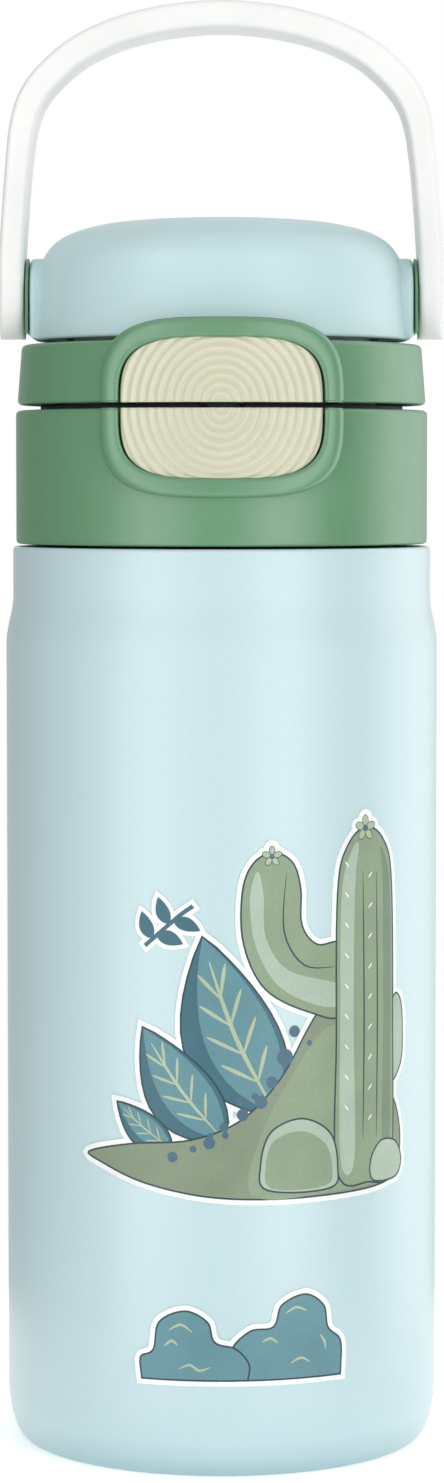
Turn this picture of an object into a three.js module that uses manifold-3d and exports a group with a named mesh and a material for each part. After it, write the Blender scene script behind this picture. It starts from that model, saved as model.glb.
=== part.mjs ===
// Kids insulated water bottle with a two-stage flip lid, in millimetres.
// +Z runs up the bottle, the front with the two buttons faces -Y, and the origin is the centre of the base.
// The lid screws off the neck. The lower button frees the middle ring for drinking from the wide mouth.
// The upper button frees the dome over the straw nozzle.
import * as THREE from 'three';
import { mergeVertices } from 'three/addons/utils/BufferGeometryUtils.js';
import Module from 'manifold-3d';

const wasm = await Module();
wasm.setup();

// Steel flask
const BODY_RADIUS = 36.5;
const SHOULDER_RADIUS = 35.3;
const SHELL_TOP = 151.8;
const SHELL_WALL = 0.7;
const BASE_FLAT_RADIUS = 32.3;
const BASE_LIP_RADIUS = 30.6;
const CORNER_HEIGHT = 12;
const SHELL_OPENING_RADIUS = 29.95;
const NECK_RADIUS = 29.6;
const NECK_BOTTOM = 150.6;
const NECK_INNER_RADIUS = 28.8;
const NECK_TOP = 166.6;
const LINER_RADIUS = 33.2;
const LINER_WALL = 0.6;
const MOUTH_RADIUS = 27.8;
const RIM_TOP = 166.6;

// Screw thread between neck and collar
const THREAD_PITCH = 4;
const THREAD_TURNS = 1.5;
const THREAD_START = 155;
const MALE_CREST_RADIUS = 30.5;
const FEMALE_CREST_RADIUS = 31.2;
const FEMALE_ROOT_RADIUS = 31.8;

// Lid levels and radii
const COLLAR_RADIUS = 34.76;
const COLLAR_INNER_RADIUS = 33.25;
const COLLAR_BOTTOM = 152.2;
const COLLAR_TOP = 174.7;
const CORE_RADIUS = 32.95;
const CORE_FLAT_Y = -32.2;
const RING_BOTTOM = 175.8;
const RING_TOP = 185.6;
const RING_INNER_RADIUS = 32.3;
const SPOUT_RADIUS = 26;
const SPOUT_BORE_RADIUS = 24.2;
const SPOUT_TOP = 177;
const DECK_BOTTOM = 179.2;
const DECK_TOP = 180.8;
const GAP = 0.3;
const DOME_BOTTOM = 186.3;
const DOME_NOTCH_TOP = 189.6;
const DOME_RADIUS = 31.5;
const NOZZLE_Y = -4;
const NOZZLE_TOP = 200.2;
const VENT_Y = 14;

// Buttons and their oval bezel, which the seam splits in two
const BEZEL_CENTRE_Z = 174.6;
const BEZEL_HALF_WIDTH = 19.8;
const BEZEL_HALF_HEIGHT = 14.5;
const BEZEL_RIM = 3.1;
const BEZEL_FRONT_Y = -36.2;
const BEZEL_ARC_RADIUS = 45;
const BUTTON_HALF_WIDTH = 16.35;
const BUTTON_HALF_HEIGHT = 11.5;
const BUTTON_FRONT_Y = -35.6;
const BUTTON_THICKNESS = 1.4;
const OVAL_POWER = 3.6;
const SEAM_LOW = 174.7;
const SEAM_HIGH = 175.8;

// Hinges at the back
const LOWER_HINGE = { y: 34.3, z: 175.25 };
const UPPER_HINGE = { y: 31, z: 186 };
const KNUCKLE_RADIUS = 2.1;
const KNUCKLE_CLEARANCE = 2.4;
const KNUCKLE_BORE = 1.1;
const HINGE_PIN_RADIUS = 0.8;
const HINGE_HALF_WIDTH = 9.3;

// Carry handle
const PIVOT_Z = 193.4;
const HANDLE_HALF_WIDTH = 37.3;
const HANDLE_HALF_DEPTH = 6.8;
const HANDLE_TOP = 242.9;
const BOSS_FACE_X = 32.2;

const ROUND = 48;
const ROUND_INSIDE = 32;

// ---- Solids ----

// Turns a closed surface into a solid, whichever way its faces run.
function solidOf(geometry) {
  const bare = geometry.index ? geometry.clone() : mergeVertices(geometry);
  bare.deleteAttribute('normal');
  bare.deleteAttribute('uv');
  const merged = mergeVertices(bare, 1e-4);
  const position = merged.attributes.position;
  const corners = Array.from(merged.index.array);
  const faces = [];
  let volume = 0;
  const a = new THREE.Vector3();
  const b = new THREE.Vector3();
  const c = new THREE.Vector3();
  for (let i = 0; i < corners.length; i += 3) {
    const [p, q, r] = corners.slice(i, i + 3);
    if (p === q || q === r || r === p) continue;
    faces.push([p, q, r]);
    a.fromBufferAttribute(position, p);
    b.fromBufferAttribute(position, q);
    c.fromBufferAttribute(position, r);
    volume += a.dot(b.cross(c));
  }
  const outward = volume < 0 ? faces.map(([p, q, r]) => [p, r, q]) : faces;
  const vertProperties = new Float32Array(position.array);
  const triVerts = new Uint32Array(outward.flat());
  return new wasm.Manifold(new wasm.Mesh({ numProp: 3, vertProperties, triVerts }));
}

function geometryOf(solid) {
  const mesh = solid.getMesh();
  const geometry = new THREE.BufferGeometry();
  geometry.setAttribute('position', new THREE.BufferAttribute(new Float32Array(mesh.vertProperties), 3));
  geometry.setIndex(new THREE.BufferAttribute(new Uint32Array(mesh.triVerts), 1));
  geometry.computeVertexNormals();
  return geometry;
}

const join = (first, ...rest) => rest.reduce((sum, solid) => sum.add(solid), first);
const cut = (first, ...rest) => rest.reduce((left, solid) => left.subtract(solid), first);

// Spins a profile of [radius, z] points about the bottle's axis.
function revolve(profile, segments = ROUND) {
  const loop = profile[0][0] > 0 ? [...profile, profile[0]] : profile;
  const points = loop.map(([radius, z]) => new THREE.Vector2(radius, z));
  return solidOf(new THREE.LatheGeometry(points, segments).rotateX(Math.PI / 2));
}

function block([x0, x1], [y0, y1], [z0, z1]) {
  const box = new THREE.BoxGeometry(x1 - x0, y1 - y0, z1 - z0);
  return solidOf(box.translate((x0 + x1) / 2, (y0 + y1) / 2, (z0 + z1) / 2));
}

function rodX(radius, [x0, x1], y, z, segments = 20) {
  const rod = new THREE.CylinderGeometry(radius, radius, x1 - x0, segments).rotateZ(Math.PI / 2);
  return solidOf(rod.translate((x0 + x1) / 2, y, z));
}

function rodY(radius, [y0, y1], x, z, segments = 20) {
  return solidOf(new THREE.CylinderGeometry(radius, radius, y1 - y0, segments).translate(x, (y0 + y1) / 2, z));
}

function shapeOf(points) {
  return new THREE.Shape(points.map(([across, up]) => new THREE.Vector2(across, up)));
}

// Pushes an [x, z] outline from y = back towards the front.
function prismY(points, [front, back]) {
  const slab = new THREE.ExtrudeGeometry(shapeOf(points), { depth: back - front, bevelEnabled: false });
  return solidOf(slab.rotateX(Math.PI / 2).translate(0, back, 0));
}

// Pushes a [y, z] outline along x.
function prismX(points, [x0, x1]) {
  const slab = new THREE.ExtrudeGeometry(shapeOf(points), { depth: x1 - x0, bevelEnabled: false });
  return solidOf(slab.rotateX(Math.PI / 2).rotateZ(Math.PI / 2).translate(x0, 0, 0));
}

// Skins a row of equal cross-sections, with flat ends unless the row closes on itself.
function loft(sections, closed = false) {
  const count = sections[0].length;
  const points = sections.flat();
  const faces = [];
  const spans = closed ? sections.length : sections.length - 1;
  for (let i = 0; i < spans; i += 1) {
    const near = i * count;
    const far = ((i + 1) % sections.length) * count;
    for (let j = 0; j < count; j += 1) {
      const k = (j + 1) % count;
      faces.push(near + j, far + j, far + k, near + j, far + k, near + k);
    }
  }
  const last = (sections.length - 1) * count;
  for (let j = 1; j < count - 1 && !closed; j += 1) {
    faces.push(0, j, j + 1, last, last + j + 1, last + j);
  }
  const geometry = new THREE.BufferGeometry();
  geometry.setAttribute('position', new THREE.Float32BufferAttribute(points.flat(), 3));
  geometry.setIndex(faces);
  return solidOf(geometry);
}

// A thread ridge of trapezoid section, from its root radius to its crest radius.
function threadRidge(rootRadius, crestRadius) {
  const steps = Math.round(THREAD_TURNS * 20);
  const sections = [];
  for (let i = 0; i <= steps; i += 1) {
    const turn = (i / steps) * THREAD_TURNS;
    const angle = turn * 2 * Math.PI;
    const z = THREAD_START + turn * THREAD_PITCH;
    const corner = (radius, rise) => [radius * Math.cos(angle), radius * Math.sin(angle), z + rise];
    sections.push([
      corner(rootRadius, -0.9),
      corner(crestRadius, -0.35),
      corner(crestRadius, 0.35),
      corner(rootRadius, 0.9),
    ]);
  }
  return loft(sections);
}

// A wire coil whose axis points along +Z from the origin.
function coil(radius, wireRadius, length, turns) {
  const steps = Math.round(turns * 8);
  const path = new THREE.CatmullRomCurve3(Array.from({ length: steps + 1 }, (_, i) => {
    const angle = (i / steps) * turns * 2 * Math.PI;
    return new THREE.Vector3(radius * Math.cos(angle), radius * Math.sin(angle), (i / steps) * length);
  }));
  const wire = shapeOf(Array.from({ length: 4 }, (_, i) => {
    const angle = (i / 4) * 2 * Math.PI;
    return [wireRadius * Math.cos(angle), wireRadius * Math.sin(angle)];
  }));
  return new THREE.ExtrudeGeometry(wire, { steps, bevelEnabled: false, extrudePath: path });
}

function superellipse(halfWidth, halfHeight, centreZ, count = 40) {
  const signedPower = (value) => Math.sign(value) * Math.abs(value) ** (2 / OVAL_POWER);
  return Array.from({ length: count }, (_, i) => {
    const angle = ((i + 0.5) / count) * 2 * Math.PI;
    return [halfWidth * signedPower(Math.cos(angle)), centreZ + halfHeight * signedPower(Math.sin(angle))];
  });
}

// Depth of the gently curved front face at a given x, for a face that stands at crownY in the middle.
function frontY(x, crownY) {
  return crownY + BEZEL_ARC_RADIUS - Math.sqrt(BEZEL_ARC_RADIUS ** 2 - x ** 2);
}

// ---- Flask ----

// A quarter ellipse that leaves the flat base and meets the upright wall.
const cornerCurve = (radius, run, rise, lift, steps) => Array.from({ length: steps + 1 }, (_, i) => {
  const angle = (i / steps) * (Math.PI / 2);
  return [radius + run * Math.sin(angle), lift + rise * (1 - Math.cos(angle))];
});

function outerShell() {
  const body = revolve([
    [0, 0],
    ...cornerCurve(BASE_FLAT_RADIUS, BODY_RADIUS - BASE_FLAT_RADIUS, CORNER_HEIGHT, 0, 5),
    [BODY_RADIUS, 135.5],
    [36.1, 138.3],
    [35.6, 140.6],
    [SHOULDER_RADIUS, 143.5],
    [SHOULDER_RADIUS, 150.7],
    [34.9, 151.5],
    [34.2, SHELL_TOP],
    [0, SHELL_TOP],
  ]);
  const cavity = revolve([
    [0, -1],
    [BASE_LIP_RADIUS, -1],
    [BASE_LIP_RADIUS, 2.2],
    [31.3, 2.2],
    [31.3, SHELL_WALL],
    ...cornerCurve(32.1, BODY_RADIUS - SHELL_WALL - 32.1, CORNER_HEIGHT - SHELL_WALL, SHELL_WALL, 3),
    [BODY_RADIUS - SHELL_WALL, 135.3],
    [SHOULDER_RADIUS - SHELL_WALL, 143.5],
    [SHOULDER_RADIUS - SHELL_WALL, SHELL_TOP - SHELL_WALL],
    [SHELL_OPENING_RADIUS, SHELL_TOP - SHELL_WALL],
    [SHELL_OPENING_RADIUS, SHELL_TOP + 1],
    [0, SHELL_TOP + 1],
  ], ROUND_INSIDE);
  return cut(body, cavity);
}

// The bare steel neck stands in the shell's opening and carries the male thread.
function threadedNeck() {
  const wall = revolve([
    [0, NECK_BOTTOM],
    [NECK_RADIUS, NECK_BOTTOM],
    [NECK_RADIUS, NECK_TOP],
    [0, NECK_TOP],
  ]);
  const bore = revolve([
    [0, NECK_BOTTOM - 1],
    [NECK_INNER_RADIUS, NECK_BOTTOM - 1],
    [NECK_INNER_RADIUS, NECK_TOP + 1],
    [0, NECK_TOP + 1],
  ], ROUND_INSIDE);
  return cut(join(wall, threadRidge(NECK_RADIUS - 0.3, MALE_CREST_RADIUS)), bore);
}

function innerLiner() {
  return revolve([
    [0, 5],
    [28.5, 5],
    [32.3, 7.4],
    [LINER_RADIUS, 11],
    [LINER_RADIUS, 134],
    [32.3, 141],
    [32.3, 146.6],
    [28.4, 150.3],
    [28.4, RIM_TOP],
    [MOUTH_RADIUS, RIM_TOP],
    [MOUTH_RADIUS, 150],
    [31.7, 146.3],
    [31.7, 141],
    [LINER_RADIUS - LINER_WALL, 134],
    [LINER_RADIUS - LINER_WALL, 11.1],
    [31.8, 7.9],
    [28.3, 5 + LINER_WALL],
    [0, 5 + LINER_WALL],
  ], ROUND_INSIDE);
}

function basePlate() {
  return revolve([
    [0, 1.9],
    [5, 1.9],
    [6, 1.5],
    [30.3, 1.5],
    [30.3, 2.1],
    [6.2, 2.1],
    [5.2, 2.5],
    [0, 2.5],
  ], ROUND_INSIDE);
}

const vacuumGetter = () => revolve([[0, 3.1], [4, 3.1], [4, 4.7], [0, 4.7]], 24);

// ---- Film stickers, wrapped on the flask's front ----

// Outlines are [arc length from the front line, z].
const GARDEN_OUTLINE = [
  [-24.6, 53.6], [-18.6, 56.4], [-17.6, 61.4], [-13.6, 63], [-14.6, 70.4], [-9.6, 74.2], [-8.4, 81.4], [-4.4, 84.2],
  [1.4, 91], [3.4, 101.4], [8, 104.6], [12.6, 101.4], [13.6, 93.6], [19, 93.4], [20, 104.6], [25.8, 108],
  [31.8, 104.6], [33, 83], [36, 80], [35.4, 70], [33.2, 66], [35.8, 56], [34.4, 48.4], [26, 45.4],
  [4, 45], [-12, 47.2], [-21.6, 50.6],
];
const BUSH_OUTLINE = [
  [-14.2, 16.4], [-14.8, 21], [-11.8, 23.6], [-10.8, 29.4], [-5.6, 31.4], [-0.6, 28.4], [1.6, 26.2], [4.6, 28.8],
  [8, 29.2], [10.4, 33], [15, 34], [18.6, 30.6], [19.2, 26.8], [22.4, 23.4], [21.4, 16.4],
];
const SPRIG_OUTLINE = [
  [-14.6, 89.8], [-13.8, 95.2], [-10.6, 96.8], [-7.8, 94.6], [-4.4, 95.6], [-2.2, 92], [-3.8, 87.6], [-8.2, 86],
  [-12.6, 86.8],
];
const STICKER_GAP = 0.12;
const STICKER_THICKNESS = 0.16;

function sticker(outline) {
  const heights = outline.map(([, z]) => z);
  const low = Math.min(...heights) - 1;
  const high = Math.max(...heights) + 1;
  const inner = BODY_RADIUS + STICKER_GAP;
  const outer = inner + STICKER_THICKNESS;
  const film = revolve([[inner, low], [outer, low], [outer, high], [inner, high]]);
  const flat = outline.map(([arc, z]) => [BODY_RADIUS * Math.sin(arc / BODY_RADIUS), z]);
  return film.intersect(prismY(flat, [-40, -15]));
}

// ---- Screw collar ----

const seamBelow = () => block([-30, 30], [-45, -10], [150, SEAM_LOW]);
const seamAbove = () => block([-30, 30], [-45, -10], [SEAM_HIGH, 200]);

// The raised oval rim around both buttons, with its front edges rounded.
function bezelRing() {
  const stations = superellipse(1, 1, 0, 40);
  const section = [[0, 'back'], [0, 1], [0.7, 0.1], [BEZEL_RIM - 0.5, 0], [BEZEL_RIM, 0.5], [BEZEL_RIM, 'back']];
  const sections = stations.map(([across, up]) => section.map(([inset, drop]) => {
    const x = across * (BEZEL_HALF_WIDTH - inset);
    const z = BEZEL_CENTRE_Z + up * (BEZEL_HALF_HEIGHT - inset);
    const y = drop === 'back' ? -25 : frontY(x, BEZEL_FRONT_Y) + drop;
    return [x, y, z];
  }));
  return loft(sections, true);
}

const buttonWell = () => prismY(
  superellipse(BEZEL_HALF_WIDTH - BEZEL_RIM, BEZEL_HALF_HEIGHT - BEZEL_RIM + 0.5, BEZEL_CENTRE_Z),
  [-40, -29.2],
);

const column = (radius) => revolve([[0, 140], [radius, 140], [radius, 210], [0, 210]]);

function knuckle(hinge, [x0, x1]) {
  return rodX(KNUCKLE_RADIUS, [x0, x1], hinge.y, hinge.z);
}

const hingeRelief = (hinge) => rodX(KNUCKLE_CLEARANCE, [-9.7, 9.7], hinge.y, hinge.z, 24);
const hingeBore = (hinge) => rodX(KNUCKLE_BORE, [-12, 12], hinge.y, hinge.z, 16);

// The outer pair of knuckles stays with the lower part, the inner pair swings with the upper part.
const outerPair = [[-HINGE_HALF_WIDTH, -5], [5, HINGE_HALF_WIDTH]];
const innerPair = [[-4.7, -2.6], [2.6, 4.7]];

function hingeLeaf(hinge, pairs, [y0, y1], [z0, z1]) {
  const parts = pairs.flatMap((pair) => [knuckle(hinge, pair), block(pair, [y0, y1], [z0, z1])]);
  return join(...parts);
}

function collar() {
  const wall = revolve([
    [COLLAR_INNER_RADIUS, COLLAR_BOTTOM],
    [33.9, COLLAR_BOTTOM],
    [34.5, 152.5],
    [COLLAR_RADIUS, 153.2],
    [COLLAR_RADIUS, 173.5],
    [34.5, 174.3],
    [33.9, COLLAR_TOP],
    [31.2, COLLAR_TOP],
    [31.2, 173.2],
    [COLLAR_INNER_RADIUS, 173.2],
  ]);
  const framed = cut(wall, buttonWell());
  const leaf = hingeLeaf(LOWER_HINGE, outerPair, [33.4, 36.2], [169.5, LOWER_HINGE.z]);
  return cut(join(cut(framed, hingeRelief(LOWER_HINGE)), leaf), hingeBore(LOWER_HINGE));
}

// The lower half of the raised rim, which stands proud of the collar's wall.
function lowerBezel() {
  return cut(bezelRing().intersect(seamBelow()), column(COLLAR_RADIUS + GAP), buttonWell());
}

// The core carries the thread and clamps the spout's flange on the neck seal.
function threadCore() {
  const wall = revolve([
    [FEMALE_ROOT_RADIUS, 152.6],
    [CORE_RADIUS, 152.6],
    [CORE_RADIUS, 172],
    [30.6, 172],
    [30.6, 175.4],
    [28.2, 175.4],
    [28.2, 170.5],
    [31, 170.5],
    [31, 164.6],
    [FEMALE_ROOT_RADIUS, 164],
  ], ROUND_INSIDE);
  const flat = block([-20, 20], [-40, CORE_FLAT_Y], [162.6, 180]);
  const latchSlot = block([-3.4, 3.4], [-40, -27.9], [170.8, 180]);
  return cut(join(wall, threadRidge(FEMALE_ROOT_RADIUS + 0.2, FEMALE_CREST_RADIUS)), flat, latchSlot);
}

function neckSeal() {
  return revolve([[27.4, 166.9], [29.3, 166.9], [29.3, 168.4], [27.4, 168.4]], ROUND_INSIDE);
}

function drinkingSpout() {
  return revolve([
    [SPOUT_BORE_RADIUS, 168.7],
    [30.6, 168.7],
    [30.6, 170.2],
    [SPOUT_RADIUS, 170.2],
    [SPOUT_RADIUS, SPOUT_TOP - 0.6],
    [25.4, SPOUT_TOP],
    [24.8, SPOUT_TOP],
    [SPOUT_BORE_RADIUS, SPOUT_TOP - 0.6],
  ], ROUND_INSIDE);
}

// ---- Buttons ----

// Each button is half of one oval plate, cut at the seam, with a seat for its spring behind it.
function button(seamBlock, latch) {
  const outline = superellipse(BUTTON_HALF_WIDTH, BUTTON_HALF_HEIGHT, BEZEL_CENTRE_Z);
  const slab = prismY(outline, [-40, -28]);
  const arc = (crownY) => prismZ(BEZEL_ARC_RADIUS, crownY + BEZEL_ARC_RADIUS);
  const plate = cut(slab.intersect(arc(BUTTON_FRONT_Y)), arc(BUTTON_FRONT_Y + BUTTON_THICKNESS));
  return cut(plate.intersect(seamBlock), rodY(2.1, [-34.7, -32], 0, latch.springZ));
}

// The hook behind a button, which catches the lip of the lid above.
function latchHook(latch) {
  return join(
    block([-2.5, 2.5], [HOOK_FRONT_Y, latch.back], [latch.z, latch.z + 1]),
    block([-2.5, 2.5], [latch.back - 1.1, latch.back], [latch.z, latch.z + 2.5]),
  );
}

// A tall round bar whose axis stands at the given y.
function prismZ(radius, y) {
  const bar = new THREE.CylinderGeometry(radius, radius, 80, 96).rotateX(Math.PI / 2);
  return solidOf(bar.translate(0, y, 175));
}

const HOOK_FRONT_Y = -33.8;
const LOWER_LATCH = { z: 171.1, back: -29.3, springZ: 166.5 };
const UPPER_LATCH = { z: 181.9, back: -28.3, springZ: 178.2 };
const lowerButton = () => button(seamBelow(), LOWER_LATCH);
const upperButton = () => button(seamAbove(), UPPER_LATCH);

function buttonSpring(z) {
  const spring = coil(1.55, 0.22, 1.9, 3.25).rotateX(Math.PI / 2).translate(0, -32.5, z);
  return solidOf(spring);
}

function hingeSpring(hinge) {
  const spring = coil(1.5, 0.2, 3.6, 4).rotateY(Math.PI / 2).translate(-1.8, hinge.y, hinge.z);
  return solidOf(spring);
}

const hingePin = (hinge) => rodX(HINGE_PIN_RADIUS, [-HINGE_HALF_WIDTH, HINGE_HALF_WIDTH], hinge.y, hinge.z, 16);

// ---- Middle ring and straw deck ----

function midRing() {
  const wall = revolve([
    [RING_INNER_RADIUS, RING_BOTTOM],
    [33.5, RING_BOTTOM],
    [34.2, 176.1],
    [34.46, 176.8],
    [33.8, 184.6],
    [33.5, 185.3],
    [32.8, RING_TOP],
    [25.4, RING_TOP],
    [25.4, 184.1],
    [RING_INNER_RADIUS, 184.1],
  ]);
  const bezel = cut(bezelRing().intersect(seamAbove()), column(RING_INNER_RADIUS));
  const latchSlot = block([-3.4, 3.4], [-40, -26.9], [181, 186.4]);
  const framed = cut(join(wall, bezel), buttonWell(), latchSlot);
  const domeWell = block([-9.7, 9.7], [30, 40], [184.2, 190]);
  const relieved = cut(framed, hingeRelief(LOWER_HINGE), hingeRelief(UPPER_HINGE), domeWell);
  const lowerLeaf = hingeLeaf(LOWER_HINGE, innerPair, [32.8, 36.2], [LOWER_HINGE.z, 180]);
  const upperLeaf = hingeLeaf(UPPER_HINGE, outerPair, [29.2, 32.9], [182.6, UPPER_HINGE.z]);
  return cut(join(relieved, lowerLeaf, upperLeaf), hingeBore(LOWER_HINGE), hingeBore(UPPER_HINGE));
}

function strawDeck() {
  const plate = revolve([
    [0, DECK_BOTTOM],
    [31.9, DECK_BOTTOM],
    [31.9, DECK_TOP],
    [25, DECK_TOP],
    [25, 187.2],
    [23.4, 187.2],
    [23.4, DECK_TOP],
    [0, DECK_TOP],
  ], ROUND_INSIDE);
  const holes = [
    revolve([[0, 170], [5.9, 170], [5.9, 190], [0, 190]], 32).translate([0, NOZZLE_Y, 0]),
    revolve([[0, 170], [1.8, 170], [1.8, 190], [0, 190]], 16).translate([0, VENT_Y, 0]),
  ];
  return cut(plate, ...holes);
}

// The skirt under the deck, which reaches into the drinking spout.
function spoutStopper() {
  return revolve([
    [21.4, 174.4],
    [22.4, 174.4],
    [22.8, 175],
    [22.8, DECK_BOTTOM - GAP],
    [21.4, DECK_BOTTOM - GAP],
  ], ROUND_INSIDE);
}

// The tongue under the deck's front, with the lip for the lower hook and the pad for the upper button's spring.
function deckLatch() {
  return join(
    block([-2.5, 2.5], [-32.1, -30.6], [176.4, DECK_BOTTOM - GAP]),
    block([-2.5, 2.5], [-32, -31], [172.4, 177]),
    block([-2.5, 2.5], [-31.5, -30.7], [172.4, 173.1]),
  );
}

function mouthSeal() {
  return revolve([[23.9, 177.3], [26.6, 177.3], [26.6, 178.9], [23.9, 178.9]], ROUND_INSIDE);
}

// Soft nozzle with a shallow waist to bite on.
function strawNozzle() {
  return revolve([
    [3.2, 177],
    [5.3, 177],
    [5.3, 181.1],
    [8, 181.1],
    [8, 182],
    [6.2, 182.9],
    [5.6, 190],
    [6.2, 195.4],
    [6, 198.8],
    [5.2, NOZZLE_TOP],
    [3.2, NOZZLE_TOP],
  ], 24).translate([0, NOZZLE_Y, 0]);
}

const strawTube = () => revolve([[3.2, 8], [4.6, 8], [4.6, 176.7], [3.2, 176.7]], 24).translate([0, NOZZLE_Y, 0]);

function ventValve() {
  return revolve([
    [0, 177],
    [2.3, 177.6],
    [2.3, 178.9],
    [1.4, 178.9],
    [1.4, 181.1],
    [3.4, 181.1],
    [2.6, 182],
    [0, 182.4],
  ], 16).translate([0, VENT_Y, 0]);
}

// ---- Dome ----

function domeCap() {
  const outside = revolve([
    [0, DOME_BOTTOM],
    [31.1, DOME_BOTTOM],
    [DOME_RADIUS, 186.9],
    [30.35, 199.6],
    [29.9, 201.3],
    [28.1, 202.8],
    [25.9, 204.2],
    [23.4, 205],
    [18.6, 206],
    [9.5, 206.7],
    [0, 206.75],
  ]);
  const hollow = revolve([
    [0, 180],
    [29.8, 180],
    [29.8, DOME_BOTTOM],
    [28.5, 199.4],
    [27.3, 201.1],
    [22.8, 203.5],
    [14, 205.2],
    [0, 205.5],
  ], ROUND_INSIDE);
  const bosses = [-1, 1].map((side) => rodX(HANDLE_HALF_DEPTH, side < 0 ? [-BOSS_FACE_X, -26] : [26, BOSS_FACE_X], 0,
    PIVOT_Z, 24));
  const pivots = rodX(2.2, [-40, 40], 0, PIVOT_Z);
  const notch = prismY(superellipse(BEZEL_HALF_WIDTH + 0.5, BEZEL_HALF_HEIGHT + 0.5, BEZEL_CENTRE_Z), [-40, -20]);
  const leaf = hingeLeaf(UPPER_HINGE, innerPair, [29.6, 32.3], [UPPER_HINGE.z, 191]);
  const cap = join(outside, ...bosses);
  const fitted = join(cut(cap, hollow, pivots, notch, hingeRelief(UPPER_HINGE)), leaf);
  return cut(fitted, hingeBore(UPPER_HINGE));
}

// The tongue inside the dome's front, with the lip for the upper hook.
function domeLatch() {
  return join(
    block([-2.5, 2.5], [-31, -30], [183.2, DOME_NOTCH_TOP - GAP]),
    block([-2.5, 2.5], [-30.5, -29.7], [183.2, 183.9]),
  );
}

function domeLiner() {
  return revolve([
    [25.8, 187],
    [27.2, 187],
    [27.2, 198.4],
    [23.9, 201.8],
    [15, 203.6],
    [0, 204.2],
    [0, 203],
    [14.8, 202.4],
    [23.1, 200.7],
    [25.8, 197.9],
  ], ROUND_INSIDE);
}

function nozzlePlug() {
  return revolve([
    [7, 199.1],
    [8.2, 199.1],
    [8.2, 202],
    [0, 202],
    [0, 200.6],
    [7, 200.6],
  ], 32).translate([0, NOZZLE_Y, 0]);
}

// ---- Handle ----

function carryHandle() {
  const outer = [[36, 218], [35.4, 222.7], [34, 227.3], [31, 231.7], [25.4, 236.5], [18.3, 239.9], [10.7, 241.9],
    [4, 242.75], [0, HANDLE_TOP]];
  const inner = [[0, 238.2], [4, 238.05], [9.9, 237.2], [16.9, 235.4], [23.2, 232.3], [28, 228.2], [30.3, 224.6],
    [31.3, 220.8], [31.7, 217]];
  const right = [[HANDLE_HALF_WIDTH, 180], [HANDLE_HALF_WIDTH, 200], ...outer];
  const rightInner = [...inner, [33.1, 199.6], [33.1, 180]];
  const mirrored = (points) => points.filter(([x]) => x > 0).map(([x, z]) => [-x, z]).reverse();
  const band = prismY([...right, ...mirrored(right), ...mirrored(rightInner), ...rightInner], [-10, 10]);
  const profile = Array.from({ length: 17 }, (_, i) => {
    const angle = Math.PI + (i / 16) * Math.PI;
    return [HANDLE_HALF_DEPTH * Math.cos(angle), PIVOT_Z + HANDLE_HALF_DEPTH * Math.sin(angle)];
  });
  const side = prismX([...profile, [HANDLE_HALF_DEPTH, 250], [-HANDLE_HALF_DEPTH, 250]], [-45, 45]);
  const sockets = [rodX(2.2, [-36, -30], 0, PIVOT_Z), rodX(2.2, [30, 36], 0, PIVOT_Z)];
  return cut(band.intersect(side), ...sockets);
}

function pivotPin(side) {
  const span = ([a, b]) => (side < 0 ? [-b, -a] : [a, b]);
  return join(rodX(1.9, span([27.8, 35.7]), 0, PIVOT_Z), rodX(2.8, span([27.5, 28.2]), 0, PIVOT_Z));
}

function pivotWasher(side) {
  const span = side < 0 ? [-32.9, -32.4] : [32.4, 32.9];
  return cut(rodX(5.3, span, 0, PIVOT_Z, 24), rodX(2.2, [-40, 40], 0, PIVOT_Z, 16));
}

// ---- Materials ----

const finish = (color, roughness, metalness = 0) => () => new THREE.MeshStandardMaterial({ color, roughness, metalness });
const powderCoat = finish(0xc9e2e6, 0.5);
const paleBluePlastic = finish(0xd2e5e9, 0.4);
const greenPlastic = finish(0x86b08f, 0.42);
const darkGreenPlastic = finish(0x33463a, 0.55);
const creamPlastic = finish(0xdcdbc0, 0.5);
const whitePlastic = finish(0xf2f2f0, 0.38);
const frostedSilicone = finish(0xe4e9e6, 0.6);
const brushedSteel = finish(0xb9bcbe, 0.32, 0.9);
const springSteel = finish(0x9a9da0, 0.35, 0.9);
const getterAlloy = finish(0x6f7073, 0.7, 0.5);
const printedFilm = finish(0x8aa794, 0.45);
const tealFilm = finish(0x6794a3, 0.45);

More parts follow.
